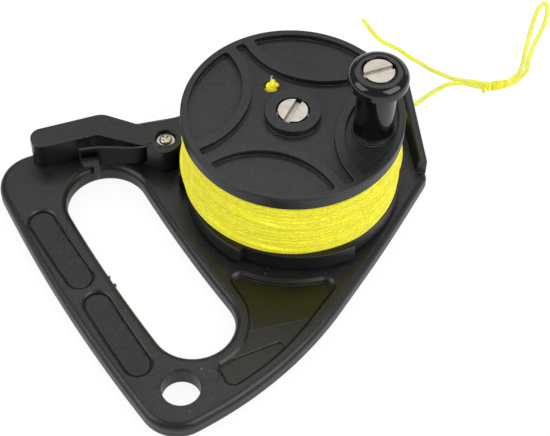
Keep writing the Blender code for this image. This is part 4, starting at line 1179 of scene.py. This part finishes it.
def pocketOutline(middle):
    size = flangeSizes
    radius = size["ribRadius"] - size["ribWidth"]
    left, leftEnd, leftTurn = ribCorner(middle, 1.0, radius, size["cornerRound"], -1.0)
    right, rightEnd, rightTurn = ribCorner(middle, -1.0, radius, size["cornerRound"], -1.0)
    points = arcPoints((0.0, 0.0), size["radius"] - size["rimWidth"], rightTurn, leftTurn) + left
    centre = polar(size["ribDistance"], middle)
    points += arcPoints(centre, radius, leftEnd, leftEnd + (rightEnd - leftEnd) % fullTurn)
    return withoutRepeats(points + right[::-1])


def quarterMiddles():
    return [math.radians(flangeSizes["patternTurnDeg"] + 45.0 + 90.0 * quarter) for quarter in range(4)]


def starOutline():
    size = flangeSizes
    points = []
    for middle in quarterMiddles():
        near, nearEnd = ribCorner(middle, -1.0, size["ribRadius"], size["tipRound"], 1.0)[:2]
        far, farEnd = ribCorner(middle, 1.0, size["ribRadius"], size["tipRound"], 1.0)[:2]
        centre = polar(size["ribDistance"], middle)
        rib = arcPoints(centre, size["ribRadius"], nearEnd, nearEnd + halfTurnAtMost(farEnd - nearEnd))
        points += near + rib + far[::-1]
    return withoutRepeats(points)


def addFlange(satin):
    size = flangeSizes
    work = bmesh.new()
    floor = size["top"] - size["recess"]
    sink = recessProfile()
    soft = size["holeEdge"]
    rimWall = roundedWall(size["bottom"], size["top"], size["edge"], size["edge"])
    lowRim, highRim = layeredWall(work, ringPoints(size["radius"], 288), rimWall)
    hubLow, hubHigh = layeredWall(work, ringPoints(size["hub"], 96),
                                  [(0.0, size["hubBottom"]), (0.0, size["bottom"])])
    step = size["seat"] - size["bore"]
    boreLow, boreHigh = layeredWall(work, ringPoints(size["bore"], 64), [
        (0.0, size["hubBottom"]), (0.0, size["seatFloor"]), (step, size["seatFloor"]),
        (step, size["bossTop"] - soft), (step + soft, size["bossTop"])])
    bossLow, bossHigh = layeredWall(work, ringPoints(size["boss"], 128),
                                    bossWall(floor, size["bossTop"], size["bossEdge"]))
    starRim, starFloor = layeredWall(work, starOutline(), sink)
    anchorAt = polar(size["anchorReach"], math.radians(size["anchorTurnDeg"]))
    anchor = ringPoints(size["anchorHole"], 48, anchorAt)
    anchorLow, anchorHigh = layeredWall(work, anchor, [
        (0.0, size["bottom"]), (0.0, floor - soft), (soft, floor)])
    knobAt = (knobPlace - spoolPlace).xy
    knobLow, knobHigh = layeredWall(work, ringPoints(size["knobBoss"], 96, knobAt),
                                    bossWall(floor, size["knobBossTop"], soft))
    step = size["knobSeat"] - size["knobBore"]
    seatLow, seatHigh = layeredWall(work, ringPoints(size["knobBore"], 64, knobAt), [
        (step, size["bottom"]), (step, size["knobSeatTop"]), (0.0, size["knobSeatTop"]),
        (0.0, size["knobBossTop"])])
    topLoops = highRim + starRim
    for quarter, middle in enumerate(quarterMiddles()):
        rim, base = layeredWall(work, pocketOutline(middle), sink)
        topLoops += rim
        fillFlat(work, base + knobLow if quarter == 3 else base)  # the knob stands in the last pocket
    fillFlat(work, topLoops)
    fillFlat(work, starFloor + bossLow + anchorHigh)
    fillFlat(work, bossHigh + boreHigh)
    fillFlat(work, knobHigh + seatHigh)
    fillFlat(work, hubLow + boreLow)
    fillFlat(work, lowRim + hubHigh + anchorLow + seatLow)
    bmesh.ops.recalc_face_normals(work, faces=work.faces)
    piece = newPiece("topFlange", work, [satin], "spool", 30.0, spoolPlace)
    claim(piece, "spool_top_flange")


knobSizes = {
    "bottom": 0.0542, "top": 0.0850, "bore": 0.0037, "floor": 0.0824, "recess": 0.0064, "lip": 0.0006,
    "cap": 0.0114, "capRound": 0.0036, "under": 0.0059, "underRound": 0.0005, "neck": 0.0076,
    "neckUnder": 0.0068, "footNeck": 0.0075, "footNeckHeight": 0.0016, "foot": 0.0078,
    "footHeight": 0.0005, "footRound": 0.0002,
}


def addKnob(gloss):
    size = knobSizes
    profile = roundedOutline((
        (size["bore"], size["floor"], 0.0),
        (size["recess"], size["floor"], 0.0),
        (size["recess"], size["top"], size["lip"]),
        (size["cap"], size["top"], size["capRound"]),
        (size["cap"], size["top"] - size["under"], size["underRound"]),
        (size["neck"], size["top"] - size["neckUnder"], size["lip"]),
        (size["footNeck"], size["bottom"] + size["footNeckHeight"], size["footNeckHeight"] / 2.0),
        (size["foot"], size["bottom"] + size["footHeight"], size["footRound"]),
        (size["foot"], size["bottom"], 0.0),
        (size["bore"], size["bottom"], 0.0),
    ))
    piece = newPiece("knobGrip", spunSolid(profile, 96, knobPlace.xy), [gloss], "knob", 30.0)
    claim(piece, "knob_grip")


screwSizes = {
    "head": 0.0058, "height": 0.0020, "edge": 0.00015, "slotDepth": 0.0017, "slotLength": 0.016,
    "shank": 0.0020, "axleTurnDeg": 32.0, "axleSlot": 0.0025, "knobTurnDeg": -12.0, "knobSlot": 0.0019,
    # How far up a face looks to be the slot's floor or the head's side, and the side's reach
    "floorFacing": 0.9, "sideFacing": 0.5, "sideReach": 0.95,
}


def addSlottedScrew(name, node, metals, body, turnDeg, slotWidth):
    low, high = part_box(node)
    size = screwSizes
    middle = (low + high) / 2.0
    under = high.z - size["height"]
    profile = roundedOutline((
        (0.0, high.z, 0.0), (size["head"], high.z, size["edge"]), (size["head"], under, 0.0),
        (size["shank"], under, 0.0), (size["shank"], low.z, 0.0), (0.0, low.z, 0.0)), closed=False)
    head = meshObject("screwPlain", spunSolid(profile, 72, closed=False))
    cutter = slotCutter(size["slotLength"], slotWidth, high.z - size["slotDepth"], turnDeg)
    combined(head, [cutter], "DIFFERENCE")
    work = reopened(head)
    work.normal_update()
    for face in work.faces:
        centre = face.calc_center_median()
        onSide = centre.xy.length > size["head"] * size["sideReach"]
        # Slot floors take a darker copy of the nickel: painted shade in the slot
        if face.normal.z > size["floorFacing"] and centre.z < high.z - size["slotDepth"] / 2.0:
            face.material_index = 1
        # The head's side takes a near-black copy of the nickel: painted shade in the gap around it
        elif abs(face.normal.z) < size["sideFacing"] and onSide:
            face.material_index = 2
    claim(newPiece(name, work, metals, body, 30.0, Vector((*middle.xy, 0.0))), node)


ratchetSizes = {"edge": 0.00035, "flatDeg": 1.0, "cornerDeg": 40.0}


def addRatchet(moulded):
    work = cadMesh("spool_ratchet")
    bmesh.ops.dissolve_limit(work, angle_limit=math.radians(ratchetSizes["flatDeg"]), verts=work.verts,
                             edges=work.edges, use_dissolve_boundaries=False)
    piece = newPiece("ratchetWheel", work, [moulded], "spool", 30.0, weighted=False)
    bevel = piece.modifiers.new("softEdges", "BEVEL")
    bevel.width = ratchetSizes["edge"]
    bevel.segments = 3
    bevel.limit_method = "ANGLE"
    bevel.angle_limit = math.radians(ratchetSizes["cornerDeg"])
    evenShading(piece, False)
    claim(piece, "spool_ratchet")


leverSizes = {
    "reach": 0.0542, "bottom": 0.0093, "top": 0.0215, "edge": 0.00045,
    # Corners from the pivot as shares of the reach: x, y, radius
    "frontShares": (
        (-0.8450, 0.5849, 0.0886), (-0.8893, 0.4077, 0.0886), (-0.4207, 0.2841, 0.1107),
        (-0.1863, 0.0185, 0.0554), (-0.0756, -0.1402, 0.0923), (0.0387, -0.1292, 0.0923),
    ),
    "backShares": ((0.2417, 0.1236, 0.1845), (-0.0775, 0.1753, 0.0554), (-0.2915, 0.4520, 0.1476)),
    # The pawl's arc and nose, from the spool's axis
    "insideRadius": 0.0455, "noseRadius": 0.0436, "backRadius": 0.0478,
    "arcMiddleDeg": 117.0, "arcHalfDeg": 17.0, "noseDeg": 92.1, "noseWideDeg": 4.4, "heelDeg": 2.5,
    "noseTop": 0.0177, "noseCutRadius": 0.0443,
    "bore": 0.0029, "recess": 0.0041, "recessFloor": 0.0188, "recessEdge": 0.0004,
    "leafShares": (
        (-0.1200, 0.0020), (-0.1880, 0.0090), (-0.2780, 0.0520), (-0.3780, 0.1180), (-0.4800, 0.1810),
        (-0.6050, 0.2320),
    ),
    "leafSpacing": 0.0010, "leafThickness": 0.0011, "leafBottom": 0.0120, "leafTop": 0.02146,
    "leafEdge": 0.0002, "leafGap": 0.0002,
    "washer": 0.0037, "washerBottom": 0.0189, "washerTop": 0.0196, "washerEdge": 0.00015, "boreGap": 0.0003,
    "head": 0.0026, "headTop": 0.0209, "headSide": 0.0003, "headGap": 0.00002, "domePower": 5,
    "domeSteps": 12,
    "shank": 0.0013, "shankBottom": 0.0036,
    "crossLength": 0.0033, "crossWidth": 0.00075, "crossDepth": 0.0008, "crossTurnDeg": 20.0,
}


def leverOutline():
    size = leverSizes
    shift = leverPlace - spoolPlace

    def fromSpool(radius, degrees, corner=0.0):
        return (*polar(radius, math.radians(degrees), -shift), corner)

    heel = size["noseDeg"] + size["noseWideDeg"] + size["heelDeg"]
    bend = size["insideRadius"] / math.cos(math.radians(size["arcHalfDeg"]))
    pawl = [
        fromSpool(bend, size["arcMiddleDeg"], size["insideRadius"]),
        fromSpool(size["insideRadius"], heel),
        fromSpool(size["noseRadius"], size["noseDeg"] + size["noseWideDeg"]),
        fromSpool(size["noseRadius"], size["noseDeg"]),
        fromSpool(size["backRadius"], size["noseDeg"], size["edge"]),
    ]
    front, back = (scaledCorners(size[key], size["reach"]) for key in ("frontShares", "backShares"))
    return leftTurning(roundedOutline(front + pawl + back))


def leafOutline():
    size = leverSizes
    route = [Vector((x * size["reach"], y * size["reach"], 0.0)) for x, y in size["leafShares"]]
    flat = smoothRoute(route, size["leafSpacing"])
    left, right = [], []
    for index, point in enumerate(flat):
        along = flat[min(index + 1, len(flat) - 1)] - flat[max(index - 1, 0)]
        side = Vector((-along.y, along.x, 0.0)).normalized() * size["leafThickness"] / 2.0
        left.append((point + side).xy)
        right.append((point - side).xy)
    return leftTurning(left + right[::-1])


def addLever(moulded):
    size = leverSizes
    work = bmesh.new()
    walls = roundedWall(size["bottom"], size["top"], size["edge"], size["edge"])
    low, high = layeredWall(work, leverOutline(), walls)
    edge, step = size["recessEdge"], size["bore"] - size["recess"]
    boreLow, recessHigh = layeredWall(work, ringPoints(size["recess"], 96), [
        (step, size["bottom"]), (step, size["recessFloor"]), (0.0, size["recessFloor"]),
        *openMouth(edge, size["top"])])
    fillFlat(work, low + boreLow)
    fillFlat(work, high + recessHigh)
    bmesh.ops.recalc_face_normals(work, faces=work.faces)
    lever = meshObject("leverPlain", work)
    past = size["top"] + overrun
    ring = ringPoints(size["noseCutRadius"], 240, (spoolPlace - leverPlace).xy)
    noseCut = closedSolid(ring, [(0.0, size["noseTop"]), (0.0, past)])
    room = grownOutline(leafOutline(), size["leafGap"])
    leafSlot = closedSolid(room, [(0.0, size["leafBottom"] - size["leafGap"]), (0.0, past)])
    combined(lever, [meshObject("noseCut", noseCut), meshObject("leafSlot", leafSlot)], "DIFFERENCE")
    work = reopened(lever)
    bmesh.ops.remove_doubles(work, verts=work.verts, dist=weldGap)
    piece = newPiece("brakeLever", work, [moulded], "lever", 35.0, leverPlace)
    claim(piece, "brake_lever")


def addLeafSpring(moulded, leafShadedPlastic):
    size = leverSizes
    edge = size["leafEdge"]
    work = closedSolid(leafOutline(), roundedWall(size["leafBottom"], size["leafTop"], edge, edge))
    # The leaf's top keeps the plain plastic; its sides take the darker copy, a painted shade
    for face in work.faces:
        if face.calc_center_median().z > size["leafTop"] - edge:
            face.material_index = 1
    piece = newPiece("leafSpring", work, [leafShadedPlastic, moulded], None, 35.0, leverPlace)
    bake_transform(piece)  # its tip stays on the plate's post
    claim(piece, "lever_leaf_spring")


def addLeverScrew(steel):
    size = leverSizes
    bore, low, high = size["shank"] + size["boreGap"], size["washerBottom"], size["washerTop"]
    ring = roundedOutline(((bore, low, 0.0), (size["washer"], low, 0.0),
                           (size["washer"], high, size["washerEdge"]), (bore, high, 0.0)))
    piece = newPiece("leverWasher", spunSolid(ring, 64, leverPlace.xy), [steel], "frame")
    claim(piece, "lever_washer")
    profile = []
    rise = size["headTop"] - high - size["headSide"]
    for step in range(size["domeSteps"] + 1):
        share = step / size["domeSteps"]
        dome = (1.0 - share ** size["domePower"]) ** 0.5
        profile.append((size["head"] * share, size["headTop"] - rise * (1.0 - dome)))
    under = high + size["headGap"]
    profile += [(size["head"], under), (size["shank"], under), (size["shank"], size["shankBottom"]),
                (0.0, size["shankBottom"])]
    head = meshObject("leverScrewPlain", spunSolid(profile, 64, closed=False))
    floor = size["headTop"] - size["crossDepth"]
    arms = [slotCutter(size["crossLength"], size["crossWidth"], floor, size["crossTurnDeg"] + turn)
            for turn in (0.0, 90.0)]
    combined(head, arms, "DIFFERENCE")
    piece = newPiece("leverScrew", reopened(head), [steel], "frame", 35.0, leverPlace)
    claim(piece, "lever_screw")


def addRigidPieces(polished):
    for node in ("lever_sleeve", "axle_barrel", "axle_thrust_washer", "axle_top_washer"):
        copiedNode(node, polished, "frame")
    for node in ("knob_barrel", "knob_washer"):
        copiedNode(node, polished, "spool")


# Floor, sky and lamps
studioSizes = {
    "floorSize": 1.6,
    "floorDrop": 0.00015,
    "floorColour": (0.86, 0.86, 0.86),
    "floorRoughness": 0.9,
    "floorGlow": 0.85,
    "floorStrength": 1.06,
    # Reflections see the floor's glow dimmer near the object: painted shade under and around it
    "floorInGloss": (0.50, 1.00),
    "floorInGlossFrom": (0.11, 0.18),
    "skyForLight": 0.25,
    "aim": (0.0, 0.0, 0.03),
    # Place, width, height and watts of each lamp
    "topBox": ((0.30, 0.46, 1.12), 1.20, 0.80, 4.0),
    "leftBox": ((-0.86, 0.23, 0.68), 0.75, 0.85, 5.6),
    "rightBox": ((0.36, -0.76, 0.74), 0.85, 0.90, 8.2),
    "backBox": ((1.11, 0.93, 0.39), 2.20, 0.60, 4.6),
}


def addFloor():
    size = studioSizes
    work = bmesh.new()
    bmesh.ops.create_grid(work, x_segments=2, y_segments=2, size=size["floorSize"] / 2.0)
    shiftMesh(work, (0.0, 0.0, -size["floorDrop"]))
    floor = meshObject("studioFloor", work)
    finish = Finish("floorPaper")
    finish.give("Base Color", size["floorColour"])
    finish.give("Roughness", size["floorRoughness"])
    finish.give("Specular IOR Level", 0.0)
    rays = finish.node("ShaderNodeLightPath", {}).node.outputs
    shine = finish.sums("MAXIMUM", rays["Is Glossy Ray"], rays["Is Transmission Ray"])
    # Nearer the middle the floor's glow in reflections is lower: painted shade around the object
    reach = finish.node("ShaderNodeVectorMath", {0: finish.coordinates()}, "Value", operation="LENGTH")
    far = finish.remap(reach, *size["floorInGlossFrom"], *size["floorInGloss"])
    seen = finish.sums("MAXIMUM", rays["Is Camera Ray"], finish.sums("MULTIPLY", shine, far))
    glow = finish.node("ShaderNodeEmission", {"Strength": size["floorStrength"]})
    glowing = finish.sums("MULTIPLY", seen, size["floorGlow"])
    paper = finish.node("ShaderNodeMixShader", {0: glowing, 1: finish.shader.outputs[0], 2: glow})
    behind = finish.node("ShaderNodeNewGeometry", {}, "Backfacing")  # the floor isn't there from below
    clear = finish.node("ShaderNodeBsdfTransparent", {})
    finish.feed(finish.tree.nodes["Material Output"].inputs["Surface"],
                finish.node("ShaderNodeMixShader", {0: behind, 1: paper, 2: clear}))
    floor.data.materials.append(finish.material)


def addSky():
    world = bpy.data.worlds.new("studioSky")
    bpy.context.scene.world = world
    world.use_nodes = True
    tree = world.node_tree
    shine = tree.nodes["Background"]
    rays = tree.nodes.new("ShaderNodeLightPath")
    seen = tree.nodes.new("ShaderNodeMath")
    seen.operation = "MAXIMUM"
    tree.links.new(rays.outputs["Is Camera Ray"], seen.inputs[0])
    tree.links.new(rays.outputs["Is Transmission Ray"], seen.inputs[1])
    strength = tree.nodes.new("ShaderNodeMix")
    strength.data_type = "FLOAT"
    strength.inputs[2].default_value = studioSizes["skyForLight"]
    strength.inputs[3].default_value = 1.0
    tree.links.new(seen.outputs[0], strength.inputs[0])
    tree.links.new(strength.outputs[0], shine.inputs["Strength"])
    shine.inputs["Color"].default_value = (1.0, 1.0, 1.0, 1.0)


def addLamps():
    for name in ("topBox", "leftBox", "rightBox", "backBox"):
        place, width, height, watts = studioSizes[name]
        light = bpy.data.lights.new(name, "AREA")
        light.shape = "RECTANGLE"
        light.size = width
        light.size_y = height
        light.energy = watts
        lamp = placed(name, light)
        lamp.location = place
        lamp.rotation_mode = "QUATERNION"
        lamp.rotation_quaternion = (Vector(studioSizes["aim"]) - Vector(place)).to_track_quat("-Z", "Y")


print("camera and free lines")
addCamera()
addFreeLines()
print("winding and anchor knot")
addWinding()
addLeadLine()
addAnchorKnot()
addWhiskers()
print("plate")
moulded = mouldedPlastic("mouldedBlack", mouldedSizes["roughness"], 0.80)
padSatin = mouldedPlastic("padSatinBlack", mouldedSizes["padRoughness"], 0.70, mouldedSizes["padTone"],
                          specks=False)
# The pocket floor's copy carries a painted yellow bounce light from the line
pocketBounceSatin = mouldedPlastic("pocketSatinBlack", mouldedSizes["roughness"], 0.70,
                             bounceTint=mouldedSizes["pocketBounceTint"])
addPlate(moulded, padSatin, pocketBounceSatin)
print("spool, ratchet, lever and knob")
addRigidPieces(brightMetal("polishedSteel"))
# A darker copy of the plastic for the leaf's sides: painted shade
leafShadedPlastic = mouldedPlastic("leafShadedBlack", mouldedSizes["leafRoughness"], 0.10, mouldedSizes["leafShadeTone"],
                             mouldedSizes["leafSpecular"], mouldedSizes["leafEdge"])
addLever(moulded)
addLeafSpring(moulded, leafShadedPlastic)
addLeverScrew(brightMetal("plainSteel"))
addRatchet(moulded)
# The flange's lighter copy of the plastic is a painted sheen
addFlange(mouldedPlastic("flangeSatinPaintedSheen", mouldedSizes["flangeRoughness"], 0.10, mouldedSizes["flangeSheenTone"]))
addKnob(glossyPlastic("knobGloss"))
metals = [brightMetal(name) for name in ("nickelSteel", "slotFloorShadedSteel", "headSideShadedSteel")]
addSlottedScrew("axleScrew", "axle_screw", metals, "frame", screwSizes["axleTurnDeg"], screwSizes["axleSlot"])
addSlottedScrew("knobScrew", "knob_screw", metals, "spool", screwSizes["knobTurnDeg"], screwSizes["knobSlot"])
print("studio")
addFloor()
addSky()
addLamps()
bpy.context.scene.view_settings.view_transform = "Standard"
